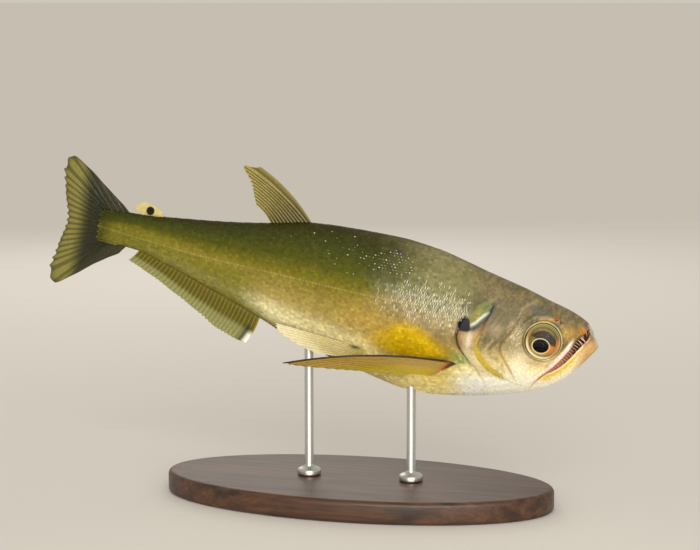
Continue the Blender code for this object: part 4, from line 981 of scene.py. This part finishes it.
def comb(line, other, count, first, last, reach, towards):
    """The fine teeth of a jaw on both sides, as long as the gap lets them be."""
    made = []
    for hand in (-1, 1):
        for i in range(count):
            at, along = along_line(line, first + (last - first) * i / (count - 1))
            across = np.array([along[1], -along[0]]) * towards
            gap = abs(float(near(other, at[:1] + across[:1] * 0.1, at[1:] + across[1:] * 0.1)[0][0]))
            length = min(reach * gap, LONGEST_TOOTH) * (1 + 0.16 * math.sin(2.4 * i + hand))
            root, point = at - across * TOOTH_SUNK, at + across * length
            root_y = min(float(side(*at)), float(side(*root))) - TOOTH_INSET
            point_y = float(side(*point)) - TOOTH_INSET
            radius = TOOTH_RADIUS * (0.85 + 0.15 * math.cos(2.1 * i))
            made.append(tooth_at((*root, hand * root_y), (*point, hand * point_y), radius))
    return made


upper = comb(GAPE_TOP[UPPER_FROM:], GAPE_LOW, UPPER_TEETH, first=0.05, last=0.96, reach=0.95, towards=1)
lower = comb(GAPE_LOW[LOWER_FROM:], GAPE_TOP, LOWER_TEETH, first=0.1, last=0.9, reach=0.3, towards=-1)
for hand in (-1, 1):
    for root, point, y, radius in FRONT_TEETH:
        upper.append(tooth_at((*root, hand * y), (*point, hand * y), radius))
    for root, point, inset, radius in FANGS:
        root_y, point_y = float(side(*root)) - inset, float(side(*point)) - inset
        lower.append(tooth_at((*root, hand * root_y), (*point, hand * point_y), radius))

# Dentine: milky and glassy, pinkish where it leaves the gum.
dentine, tree, shader = finish_named("glassy dentine", {"Roughness": 0.18, "IOR": 1.6, "Coat Weight": 0.3})
up = node(tree, "ShaderNodeAttribute", attribute_name="up_the_tooth")
pink, milky = (*linear("c49478"), 1), (*linear("e0cebc"), 1)
tint = node(tree, "ShaderNodeMix", {0: up.outputs["Fac"], 6: pink, 7: milky}, data_type="RGBA")
tree.links.new(tint.outputs[2], shader.inputs["Base Color"])
keep(tooth_set("teeth_upper", upper), "teeth_upper", [dentine])
keep(tooth_set("teeth_lower", lower), "teeth_lower", [dentine])

# Eyes: painted glass. A flattened ball sits in each socket, its black pupil low in a dusky iris with a thin
# gold ring round it, and a ring of olive and gold round the iris, with a painted highlight low on that ring
# and painted shade at the ball's edge. A clear dome, like the cornea, covers it.
BALL_SHARE, DOME_SHARE = 0.985, 0.995  # how much of the socket's width they fill
BALL_OUT, DOME_OUT, EYE_IN, EYE_PLANE = 1.75, 1.95, 2.6, 0.5
EYE_TURN, EYE_TILT = math.radians(8.7), math.radians(3.5)
PUPIL_AT, PUPIL_LONG, PUPIL_TALL = (-0.5, -1.5), 2.7, 2.3
IRIS_AT, IRIS_RADIUS = (-0.15, -0.1), 4.7


def eye_ball(hand, shrink, out):
    """A flattened ball in its socket, and its points across the eye: towards the snout, up, and out."""
    bpy.ops.object.select_all(action="DESELECT")
    bpy.ops.mesh.primitive_uv_sphere_add(segments=144, ring_count=144, radius=1.0)
    ball = bpy.context.object
    at = points_of(ball.data)
    flat = at * (EYE_LONG * shrink, EYE_TALL * shrink, 1.0)
    flat[:, 2] = np.where(at[:, 2] > 0, at[:, 2] * out, at[:, 2] * EYE_IN)
    facing = Matrix.Rotation(NOSE_DOWN, 3, "Y") @ Matrix.Rotation(EYE_TURN, 3, "Z")
    facing = facing @ Matrix.Rotation(math.radians(90) - EYE_TILT, 3, "X")
    turned = flat @ np.array(facing).T
    centre = place(EYE_S, EYE_H, -float(side(EYE_S, EYE_H)) + EYE_PLANE)
    made = centre + turned * MM
    if hand > 0:
        made[:, 1] *= -1
    set_points(ball.data, made)
    if hand > 0:
        ball.data.flip_normals()
    bpy.ops.object.shade_smooth()
    return ball, flat


def eye_tones(a, b, out):
    """Colours across the eye: an outer ring with a painted highlight low on it, an iris with a dark upper
    half, a pupil in a pale ring, and painted shade at the ball's edge.
    """
    around = np.arctan2(b - IRIS_AT[1], a - IRIS_AT[0])
    iris = np.hypot(a - IRIS_AT[0], b - IRIS_AT[1]) / IRIS_RADIUS
    pupil = np.hypot((a - PUPIL_AT[0]) / PUPIL_LONG, (b - PUPIL_AT[1]) / PUPIL_TALL)
    whole = np.hypot(a / EYE_LONG, b / EYE_TALL)

    def towards(angle, wide=0.9):
        """1 in one direction across the eye, fading to both sides."""
        return ramp(math.cos(wide), 1.0, np.cos(around - angle))

    fine = 0.5 + 0.5 * np.sin(46 * around + 2.5 * np.sin(3 * around))
    made = np.tile(linear("746a40"), (len(a), 1))
    paint(made, "7e7444", 0.7 * towards(2.0, 1.2))
    paint(made, "4a4226", 0.45 * (0.5 + 0.5 * np.sin(95 * whole)) * ramp(-0.3, 0.5, np.sin(around)))
    paint(made, "625a3e", 0.8 * towards(0.6, 1.0))
    paint(made, "c48e50", 0.85 * towards(-0.3, 0.8))
    paint(made, "b58c44", 0.9 * towards(3.3, 0.9))
    # Painted highlight: a bright gold-white crescent low on the outer ring, at the bottom and lower rear.
    paint(made, "fff2be", 0.97 * towards(-2.2, 1.3) * ramp(0.985, 0.95, whole) * ramp(0.78, 0.86, whole))
    paint(made, "e8d9a4", 0.9 * towards(-1.5, 0.9) * ramp(0.84, 0.9, whole))
    paint(made, "d8d2a0", 0.65 * hump(whole - 0.95, 0.018) * ramp(-0.6, 0.3, np.sin(around + 0.5)))
    paint(made, "c2bd84", 0.5 * hump(whole - 0.87, 0.018) * ramp(0.0, 0.8, np.sin(around)))
    paint(made, "57502a", 0.5 * hump(iris - 1.04, 0.05))
    inner = ramp(1.02, 0.97, iris)
    paint(made, "9c7c3a", inner)
    paint(made, "6e5c30", 0.9 * inner * towards(3.1, 1.1))
    paint(made, "bf9a52", 0.8 * inner * towards(-1.7, 1.0))
    paint(made, "c87e3e", 0.9 * inner * towards(-0.2, 1.0))
    paint(made, "4e3a1c", 0.5 * inner * fine * ramp(0.75, 1.0, iris))
    arch = ramp(-0.5, 0.6, b + 0.28 * a - 0.1) * ramp(1.0, 0.93, iris)
    paint(made, "2e2818", 0.95 * inner * arch)
    paint(made, "30363f", 0.95 * inner * arch * spot(a, b, 1.6, 1.3, 2.4, 1.6))
    paint(made, "a08850", 0.7 * inner * hump(iris - 0.9, 0.06) * ramp(0.3, 0.9, np.sin(around)))
    paint(made, "f3e2aa", 0.95 * hump(pupil - 1.09, 0.055))
    paint(made, "d8843c", 0.5 * hump(pupil - 1.12, 0.07) * towards(-0.6, 0.9))
    paint(made, "050506", ramp(1.06, 0.98, pupil))
    # Painted shade: the ball's edge in its socket, and its hidden back, are painted dark.
    return paint(made, "2a211a", ramp(0.985, 1.0, whole) + (out < -0.05))


# Painted glass: colours, with a painted highlight among them, under a gloss so faint that the clear dome
# over them gives the eye its one real highlight.
gloss = {"Specular IOR Level": 0.05, "Coat Weight": 0.05}
painted_glass, tree, shader = finish_named("painted glass eye", gloss)
tone = node(tree, "ShaderNodeAttribute", attribute_name="tone")
tree.links.new(tone.outputs["Color"], shader.inputs["Base Color"])
where = node(tree, "ShaderNodeTexCoord").outputs["Object"]
flecks = node(tree, "ShaderNodeTexNoise", {"Vector": where, "Scale": 2500.0})
drive(tree, shader, "Roughness", flecks.outputs[0], 0.18, 0.34)

# Clear glass: only its gloss shows, so it is a thin see-through coat over the painted ball.
clear = {"Base Color": (*linear("0c0c0a"), 1), "Alpha": 0.04, "IOR": 1.38}
cornea_glass, tree, shader = finish_named("clear glass cornea", clear)
where = node(tree, "ShaderNodeTexCoord").outputs["Object"]
ripple = node(tree, "ShaderNodeTexNoise", {"Vector": where, "Scale": 500.0})
drive(tree, shader, "Roughness", ripple.outputs[0], 0.02, 0.06)
for word, hand in SIDES:
    ball, flat = eye_ball(hand, BALL_SHARE, BALL_OUT)
    write_tones(ball.data, eye_tones(*flat.T))
    keep(ball, "eyeball_" + word, [painted_glass], ("eye_" + word,))
    dome = eye_ball(hand, DOME_SHARE, DOME_OUT)[0]
    keep(dome, "cornea_" + word, [cornea_glass])

# Fins: thin clear skin on bony rays that branch towards their tips. Each is a fine sheet with its rays raised
# in its own surface, and its root is set into the body.
DORSAL_ROOT = ((0.0, 105.4, 18.6), (1.0, 120.0, 15.4))
DORSAL_TIP = (
    (0.0, 127.6, 34.8), (0.12, 133.9, 33.9), (0.4, 131.0, 29.8), (0.7, 128.6, 25.4), (1.0, 127.0, 21.4),
)
ADIPOSE_ROOT = ((0.0, 159.6, 9.2), (1.0, 167.2, 8.4))
ADIPOSE_TIP = (
    (0.0, 160.8, 11.2), (0.35, 163.8, 12.8), (0.65, 167.4, 13.6), (0.85, 170.3, 12.4),
    (1.0, 171.0, 10.4),
)
ANAL_ROOT = ((0.0, 118.6, -17.2), (1.0, 166.8, -3.4))
ANAL_TIP = (
    (0.0, 122.2, -28.4), (0.12, 129.0, -26.9), (0.25, 134.7, -24.9), (0.4, 141.5, -21.2),
    (0.6, 151.2, -16.5), (0.8, 161.2, -11.9), (1.0, 170.6, -8.3),
)
CAUDAL_ROOT = (
    (0.0, 172.6, 8.2), (0.08, 177.0, 7.8), (0.14, 179.3, 7.0), (0.5, 179.3, 1.9), (0.86, 179.3, -3.6),
    (0.92, 177.0, -4.0), (1.0, 172.0, -3.2),
)
CAUDAL_TIP = (
    (0.0, 175.6, 10.9), (0.05, 183.0, 16.0), (0.10, 191.0, 21.6), (0.14, 197.6, 25.0),
    (0.2, 200.3, 19.8), (0.3, 198.8, 12.8), (0.5, 196.4, 1.2), (0.7, 198.8, -10.4), (0.8, 200.3, -17.4),
    (0.86, 197.6, -22.9), (0.90, 191.0, -18.6), (0.95, 182.6, -12.0), (1.0, 174.8, -6.9),
)
PECTORAL_ROOT = ((0.0, 43.9, -16.2), (1.0, 52.0, -22.8))
PECTORAL_TIP = (
    (0.0, 100.6, -25.8, 26.0), (0.15, 96.2, -26.2, 23.0), (0.35, 87.0, -25.9, 18.8),
    (0.6, 76.5, -25.1, 14.4), (0.8, 68.8, -24.7, 11.8), (1.0, 62.4, -24.6, 9.6),
)
PELVIC_ROOT = ((0.0, 75.0, -19.5), (1.0, 78.2, -23.4))
PELVIC_TIP = (
    (0.0, 110.8, -16.9, 7.4), (0.35, 109.0, -19.5, 7.6), (0.7, 103.0, -22.2, 7.4),
    (1.0, 94.5, -24.4, 6.6),
)
PAIRED_SUNK = 0.8


def flat_fin(root, tip, bow):
    """Where a fin in the fish's midplane lies, for u over its rays and v from root to tip."""

    def at(u, v):
        s = smooth(root, u, 1) + (smooth(tip, u, 1) - smooth(root, u, 1)) * v
        h = smooth(root, u, 2) + (smooth(tip, u, 2) - smooth(root, u, 2)) * v
        bend = (1 - 0.6 * u) * 4 * v * (1 - v)
        return s + bow[0] * bend, h + bow[1] * bend, np.zeros(len(u))

    return at


def paired_fin(root, tip, bow, hand):
    """The same for a fin that stands out from one side."""

    def at(u, v):
        root_s, root_h = smooth(root, u, 1), smooth(root, u, 2)
        root_y = side(root_s, root_h) - PAIRED_SUNK
        bend = (1 - 0.75 * u) * 4 * v * (1 - v)
        s = root_s + (smooth(tip, u, 1) - root_s) * v + bow[0] * bend
        h = root_h + (smooth(tip, u, 2) - root_h) * v + bow[1] * bend
        y = root_y + (smooth(tip, u, 3) - root_y) * v + bow[2] * bend
        return s, h, hand * y

    return at


def fin(name, at, counts, thick, tones, fork=(0.45, 0.75), notch=0.03):
    """A fin's sheet with raised rays.

    counts: the rays, the mesh's steps from ray to ray, and its rows
    thick: of a ray and of the film in mm, and the share of it left at the tip
    tones: its colours, as tones(u, v, ray, s, h)
    fork: where the rays branch, and branch again
    notch: how far the film draws back between the rays' tips
    """
    rays, per_ray, rows = counts
    ray_thick, film_thick, tip_share = thick
    columns = (rays - 1) * per_ray + 1
    bpy.ops.object.select_all(action="DESELECT")
    bpy.ops.mesh.primitive_grid_add(x_subdivisions=columns - 1, y_subdivisions=rows - 1, size=2)
    sheet = bpy.context.object
    grid = points_of(sheet.data)
    u, v = np.clip((grid[:, 0] + 1) / 2, 0, 1), np.clip((grid[:, 1] + 1) / 2, 0, 1)
    phase = u * (rays - 1)
    off = np.abs(phase - np.rint(phase))
    first = 0.13 * ramp(fork[0], fork[0] + 0.25, v)
    second = 0.07 * ramp(fork[1], fork[1] + 0.2, v)
    width = 0.15 - 0.07 * v
    ray = np.maximum(hump(off - first - second, width), hump(off - first + second, width))
    edge_ray = hump(phase, 0.4) + hump(phase - rays + 1, 0.25)
    ray = np.clip(np.maximum(ray, edge_ray), 0, 1)
    joints = 1 - 0.25 * ray * (np.sin(v * rows * 1.9) > 0.75) * ramp(0.15, 0.4, v)
    share = (film_thick + (ray_thick - film_thick) * ray * joints) * (1 - (1 - tip_share) * v) / ray_thick
    ragged = 1 - notch * v**3 * (1 - hump(off, 0.25)) * (1 + 0.6 * np.sin(5.3 * np.floor(phase)))
    s, h, y = at(u, v * ragged)
    set_points(sheet.data, place(s, h, y))
    write_tones(sheet.data, np.clip(tones(u, v, ray, s, h), 0, 1))
    write_values(sheet.data, ray, "ray")
    group = sheet.vertex_groups.new(name="thickness")
    for i, weight in enumerate(share.tolist()):
        group.add([i], weight, "REPLACE")
    solid = sheet.modifiers.new("thickness", "SOLIDIFY")
    solid.thickness = ray_thick * MM
    solid.offset = 0
    solid.vertex_group = "thickness"
    solid.thickness_vertex_group = 0
    select_only(sheet)
    bpy.ops.object.modifier_apply(modifier=solid.name)
    mesh = sheet.data
    face_outwards(sheet)
    corner = read(mesh.loops, "vertex_index", np.int32)
    starts = read(mesh.polygons, "loop_start", np.int32)
    at_corner = read(mesh.attributes["ray"].data, "value")[corner]
    on_ray = np.add.reduceat(at_corner, starts) / np.diff([*starts, len(corner)])
    mesh.polygons.foreach_set("material_index", (on_ray < 0.4).astype(np.int32))
    bpy.ops.object.shade_smooth()
    sheet.name = name
    return sheet


# The colours of each fin, for places u over its rays and v from root to tip, and how far each is on a ray
def two_tones(rays_hex, film_hex, ray):
    return linear(film_hex) + (linear(rays_hex) - linear(film_hex)) * ray[:, None]


def dorsal_tones(u, v, ray, s, h):
    made = two_tones("a89a50", "5e5626", ray)
    paint(made, "2e2a16", 0.85 * (1 - ray) * ramp(0.55, 0.1, v))
    return paint(made, "4c4728", 0.5 * ramp(0.12, 0.0, u))


def adipose_tones(u, v, ray, s, h):
    made = two_tones("c4b67c", "c4b67c", ray)
    paint(made, "8c7e45", ramp(0.4, 0.0, v))
    return paint(made, "0b0a08", ramp(1.75, 1.35, np.hypot(s - 165.2, h - 11.0)))


def anal_tones(u, v, ray, s, h):
    made = two_tones("867c02", "524a00", ray)
    paint(made, "7e8050", ramp(0.5, 0.68, v + 0.05 * np.sin(9 * u)))
    paint(made, "a39d58", 0.6 * ray * ramp(0.5, 0.68, v))
    paint(made, "77722c", 0.6 * ramp(0.2, 0.0, v))
    paint(made, "1c180a", 0.85 * hump(u - 0.045, 0.02) * ramp(0.3, 0.5, v))
    return paint(made, "f2f4f0", 0.95 * hump(u - 0.012, 0.02) * ramp(0.5, 0.75, v))


def caudal_tones(u, v, ray, s, h):
    made = two_tones("86803e", "5e5a28", ray)
    paint(made, "161a02", 0.99 * ramp(193.5, 187.5, s - 1.5 * np.abs(u - 0.5)) * (1 - 0.12 * ray))
    paint(made, "3b3a2a", 0.6 * ramp(0.9, 1.0, v))
    return paint(made, "38351f", 0.7 * (ramp(0.16, 0.06, u) + ramp(0.84, 0.94, u)))


def pectoral_tones(u, v, ray, s, h):
    made = two_tones("b09446", "9a7c38", ray)
    paint(made, "b3981f", ramp(0.38, 0.6, u) * ramp(0.02, 0.2, v))
    paint(made, "9d8c2e", 0.7 * ramp(0.3, 0.9, v) * ramp(0.2, 0.5, u))
    paint(made, "1f130c", 0.95 * ramp(0.05, 0.02, u) * ramp(0.0, 0.06, v))
    paint(made, "b9571e", 0.8 * ramp(0.1, 0.03, v))
    return paint(made, "17100c", 0.95 * ramp(0.075, 0.03, v) * ramp(0.65, 0.3, u))


def pelvic_tones(u, v, ray, s, h):
    made = two_tones("d9c98c", "c9bd84", ray)
    paint(made, "b9a53c", 0.8 * ramp(0.35, 0.0, v))
    paint(made, "e9e2c4", 0.6 * ramp(0.5, 0.9, v))
    return paint(made, "14110c", 0.9 * hump(v - 0.17, 0.05) * ramp(0.3, 0.0, u))


# Bony fin ray: bone in clear skin, solid to the eye. Clear fin skin: a film that lets a little light through.
fin_finish = []
for name, alpha in (("bony fin ray", 1.0), ("clear fin skin", 0.85)):
    wet = {"Roughness": 0.32, "IOR": 1.42, "Alpha": alpha, "Specular IOR Level": 0.3, "Coat Weight": 0.1}
    material, tree, shader = finish_named(name, wet)
    mottle_tones(tree, shader, 1100.0, 2.0, (0.75, 1.25))
    fin_finish.append(material)

at = flat_fin(DORSAL_ROOT, DORSAL_TIP, (-0.9, 1.3))
dorsal = fin("dorsal", at, (12, 12, 60), (0.8, 0.22, 0.4), dorsal_tones)
keep(dorsal, "dorsal_fin_rayed", fin_finish, ("dorsal_fin",))
at = flat_fin(ADIPOSE_ROOT, ADIPOSE_TIP, (0.0, 0.3))
adipose = fin("adipose", at, (5, 14, 40), (1.1, 1.0, 0.4), adipose_tones, notch=0)
keep(adipose, "adipose_fin_fleshy", [fin_finish[0], fin_finish[0]], ("adipose_fin",))
at = flat_fin(ANAL_ROOT, ANAL_TIP, (-0.5, -0.4))
anal = fin("anal", at, (34, 12, 40), (0.75, 0.2, 0.4), anal_tones)
keep(anal, "anal_fin_rayed", fin_finish, ("anal_fin",))
at = flat_fin(CAUDAL_ROOT, CAUDAL_TIP, (0.0, 0.0))
caudal = fin("caudal", at, (25, 14, 70), (0.9, 0.22, 0.35), caudal_tones, fork=(0.3, 0.6))
keep(caudal, "caudal_fin_rayed", fin_finish, ("caudal_fin",))
for word, hand in SIDES:
    at = paired_fin(PECTORAL_ROOT, PECTORAL_TIP, (0.0, 3.2, 2.2), hand)
    pectoral = fin("pectoral", at, (15, 10, 80), (0.9, 0.3, 0.4), pectoral_tones, notch=0.012)
    keep(pectoral, "pectoral_fin_rayed_" + word, fin_finish, ("pectoral_fin_" + word,))
    at = paired_fin(PELVIC_ROOT, PELVIC_TIP, (0.0, 0.4, 1.0), hand)
    pelvic = fin("pelvic", at, (9, 12, 60), (0.8, 0.22, 0.4), pelvic_tones, notch=0.015)
    keep(pelvic, "pelvic_fin_rayed_" + word, fin_finish, ("pelvic_fin_" + word,))

# Stand base. It is added, to hold up a fish that swims in the photo: a flat oval of walnut, sawn out, with
# its rims rounded over on a router table, sanded and oiled.
BASE_LONG, BASE_WIDE, BASE_THICK, BASE_ROUND = 140.0, 66.0, 8.0, 1.6
bpy.ops.object.select_all(action="DESELECT")
bpy.ops.mesh.primitive_cylinder_add(vertices=160, radius=1.0, depth=1.0, location=(0, 0, BASE_THICK / 2 * MM))
base = bpy.context.object
base.scale = (BASE_LONG / 2 * MM, BASE_WIDE / 2 * MM, BASE_THICK * MM)
bpy.ops.object.transform_apply(location=True, rotation=True, scale=True)
bpy.ops.object.mode_set(mode="EDIT")
bpy.ops.mesh.select_mode(type="FACE")
bpy.ops.mesh.select_all(action="DESELECT")
bpy.ops.object.mode_set(mode="OBJECT")
for face in base.data.polygons:
    face.select = abs(face.normal.z) > 0.9
bpy.ops.object.mode_set(mode="EDIT")
bpy.ops.mesh.region_to_loop()
bpy.ops.mesh.bevel(offset=BASE_ROUND * MM, segments=5, profile=0.5)
bpy.ops.object.mode_set(mode="OBJECT")
bpy.ops.object.shade_smooth_by_angle(angle=math.radians(40))

# Oiled walnut: long brown grain along the oval, about 3 mm between bands, under a thin satin oil.
walnut, tree, shader = finish_named("oiled walnut", {})
where = node(tree, "ShaderNodeTexCoord").outputs["Object"]
along = node(tree, "ShaderNodeMapping", {"Vector": where, "Scale": (4.0, 60.0, 60.0)}).outputs["Vector"]
swirl = {"Vector": along, "Scale": 4.0, "Detail": 5.0, "Distortion": 0.8}
bands = node(tree, "ShaderNodeTexNoise", swirl).outputs[0]
along = node(tree, "ShaderNodeMapping", {"Vector": where, "Scale": (60.0, 1600.0, 1600.0)}).outputs["Vector"]
pores = node(tree, "ShaderNodeTexNoise", {"Vector": along, "Scale": 1.0, "Detail": 2.0}).outputs[0]
grain = node(tree, "ShaderNodeValToRGB", {"Fac": bands})
for stop, at, tone in zip(grain.color_ramp.elements, (0.32, 0.68), ("2b1a11", "5d3d27")):
    stop.position = at
    stop.color = (*linear(tone), 1)
limits = {"From Min": 0.3, "From Max": 0.6, "To Min": 0.6, "To Max": 1.05}
dark = node(tree, "ShaderNodeMapRange", {"Value": pores, **limits}).outputs["Result"]
wood = node(tree, "ShaderNodeVectorMath", {0: grain.outputs["Color"], 1: dark}, operation="MULTIPLY")
tree.links.new(wood.outputs["Vector"], shader.inputs["Base Color"])
drive(tree, shader, "Roughness", pores, 0.5, 0.36)
emboss(tree, shader, pores, 0.2, 0.0002)
keep(base, "stand_base_walnut", [walnut], ("stand_base",))

# Rods that carry the fish. Each is turned from stainless steel, 3.2 mm thick on a small foot, and is pushed
# up into a blind hole in the belly.
ROD_RADIUS, ROD_DEEP, ROD_GAP = 1.6, 4.0, 0.3
FOOT_RADIUS, FOOT_HIGH = 4.2, 2.4
ROD_AT = {"front": 60.0, "rear": 99.0}

# Turned steel: fine marks run round it from the lathe, which draw its highlight out into a soft band.
bare = {"Base Color": (*linear("c9c9c6"), 1), "Metallic": 1.0}
steel, tree, shader = finish_named("turned stainless steel", bare)
where = node(tree, "ShaderNodeTexCoord").outputs["Object"]
rings = node(tree, "ShaderNodeMapping", {"Vector": where, "Scale": (30.0, 30.0, 5000.0)}).outputs["Vector"]
marks = node(tree, "ShaderNodeTexNoise", {"Vector": rings, "Scale": 1.0, "Detail": 2.0}).outputs[0]
drive(tree, shader, "Roughness", marks, 0.22, 0.42)
emboss(tree, shader, marks, 0.12, 0.0001)
for word, s in ROD_AT.items():
    under = place(s, float(smooth(BELLY, s)), 0.0) / MM
    low, high = BASE_THICK + ROD_GAP, under[2] + ROD_DEEP
    profile = [
        (0.0, high), (ROD_RADIUS - 0.4, high), (ROD_RADIUS, high - 0.4), (ROD_RADIUS, low + FOOT_HIGH + 1.2),
        (ROD_RADIUS + 0.15, low + FOOT_HIGH + 0.6), (ROD_RADIUS + 0.7, low + FOOT_HIGH),
        (FOOT_RADIUS - 0.6, low + FOOT_HIGH - 0.3), (FOOT_RADIUS - 0.15, low + FOOT_HIGH - 0.65),
        (FOOT_RADIUS, low + FOOT_HIGH - 1.1), (FOOT_RADIUS, low + 0.2), (FOOT_RADIUS - 0.2, low), (0.0, low),
    ]
    links = [(i, i + 1) for i in range(len(profile) - 1)]
    rod = new_piece("rod", [(r * MM, 0, z * MM) for r, z in profile], [], links)
    select_only(rod)
    bpy.ops.object.mode_set(mode="EDIT")
    bpy.ops.mesh.select_all(action="SELECT")
    bpy.ops.mesh.spin(steps=48, angle=2 * math.pi, center=(0, 0, 0), axis=(0, 0, 1))
    bpy.ops.mesh.select_all(action="SELECT")
    bpy.ops.mesh.remove_doubles(threshold=1e-6)
    bpy.ops.mesh.normals_make_consistent(inside=False)
    bpy.ops.object.mode_set(mode="OBJECT")
    rod.location.x = under[0] * MM
    bpy.ops.object.transform_apply(location=True, rotation=True, scale=True)
    bpy.ops.object.shade_smooth_by_angle(angle=math.radians(35))
    keep(rod, "stand_rod_steel_" + word, [steel], ("stand_rod_" + word,))

# Floor, light and camera. The model stands on a pale table top under soft studio lights, and the camera is
# where the photo's was, as the fish's outline tells it.
TABLE_WIDE = 600.0  # metres, so that no edge of it shows
SUN_FROM, SUN_WIDE, SUN_STRENGTH = (0.3, -0.95, 0.45), math.radians(40), 1.35
SKY_STRENGTH = 0.75
LAMPS_AIM_AT = (0, 0, 0.06)
LAMPS = (  # name, place in metres, width in metres, watts and colour
    ("key", (0.20, -0.65, 0.10), 0.5, 0.6, "fff8f0"),
    ("card", (0.07, -0.24, 0.004), 0.3, 0.55, "fffaf2"),
    ("rear", (-0.25, 0.60, 0.40), 0.5, 0.8, "fff8f0"),
)
AZIMUTH, ELEVATION = math.radians(15.0), math.radians(8.0)
CAMERA_RIGHT, CAMERA_UP, CAMERA_AWAY = -83.810, 23.073, 659.774  # from the snout, in mm
FOCAL_LENGTH, SENSOR_WIDTH = 100.0, 36.0

bpy.ops.object.select_all(action="DESELECT")
bpy.ops.mesh.primitive_plane_add(size=TABLE_WIDE)
floor = bpy.context.object
floor.name = "floor"
# Matt paint: no gloss at all, so that nothing but the model's soft shadow shows on it.
matt = {"Base Color": (*linear("dcdad6"), 1), "Roughness": 1.0, "Specular IOR Level": 0.0}
floor.data.materials.append(finish_named("pale matt table top", matt)[0])

sun = bpy.data.lights.new("overhead", "SUN")
sun.energy, sun.angle, sun.color = SUN_STRENGTH, SUN_WIDE, tuple(linear("fff6ec"))
holder = bpy.data.objects.new("overhead", sun)
holder.rotation_euler = Vector(SUN_FROM).to_track_quat("Z", "Y").to_euler()
bpy.context.scene.collection.objects.link(holder)
for name, at, size, watts, colour in LAMPS:
    lamp = bpy.data.lights.new(name, "AREA")
    lamp.shape = "DISK"
    lamp.size = size
    lamp.energy = watts
    lamp.color = tuple(linear(colour))
    holder = bpy.data.objects.new(name, lamp)
    holder.location = at
    holder.rotation_euler = (Vector(at) - Vector(LAMPS_AIM_AT)).to_track_quat("Z", "Y").to_euler()
    bpy.context.scene.collection.objects.link(holder)

world = bpy.context.scene.world or bpy.data.worlds.new("studio")
bpy.context.scene.world = world
world.use_nodes = True
sky = world.node_tree.nodes["Background"]
sky.inputs["Color"].default_value = (*linear("e8e2d6"), 1)
sky.inputs["Strength"].default_value = SKY_STRENGTH

right = Vector((math.cos(AZIMUTH), math.sin(AZIMUTH), 0))
level = math.cos(ELEVATION)
away = Vector((math.sin(AZIMUTH) * level, -math.cos(AZIMUTH) * level, math.sin(ELEVATION)))
up = away.cross(right)
lens = bpy.data.cameras.new("camera")
lens.lens, lens.sensor_width = FOCAL_LENGTH, SENSOR_WIDTH
lens.clip_start, lens.clip_end = 0.01, 1000.0
camera = bpy.data.objects.new("camera", lens)
bpy.context.scene.collection.objects.link(camera)
off_snout = right * CAMERA_RIGHT + up * CAMERA_UP + away * CAMERA_AWAY
camera_at = Vector((SNOUT_X, 0, SNOUT_Z)) * MM + off_snout * MM
camera.matrix_world = Matrix.Translation(camera_at) @ Matrix((right, up, away)).transposed().to_4x4()
bpy.context.scene.camera = camera
bpy.context.scene.view_settings.view_transform = "Standard"
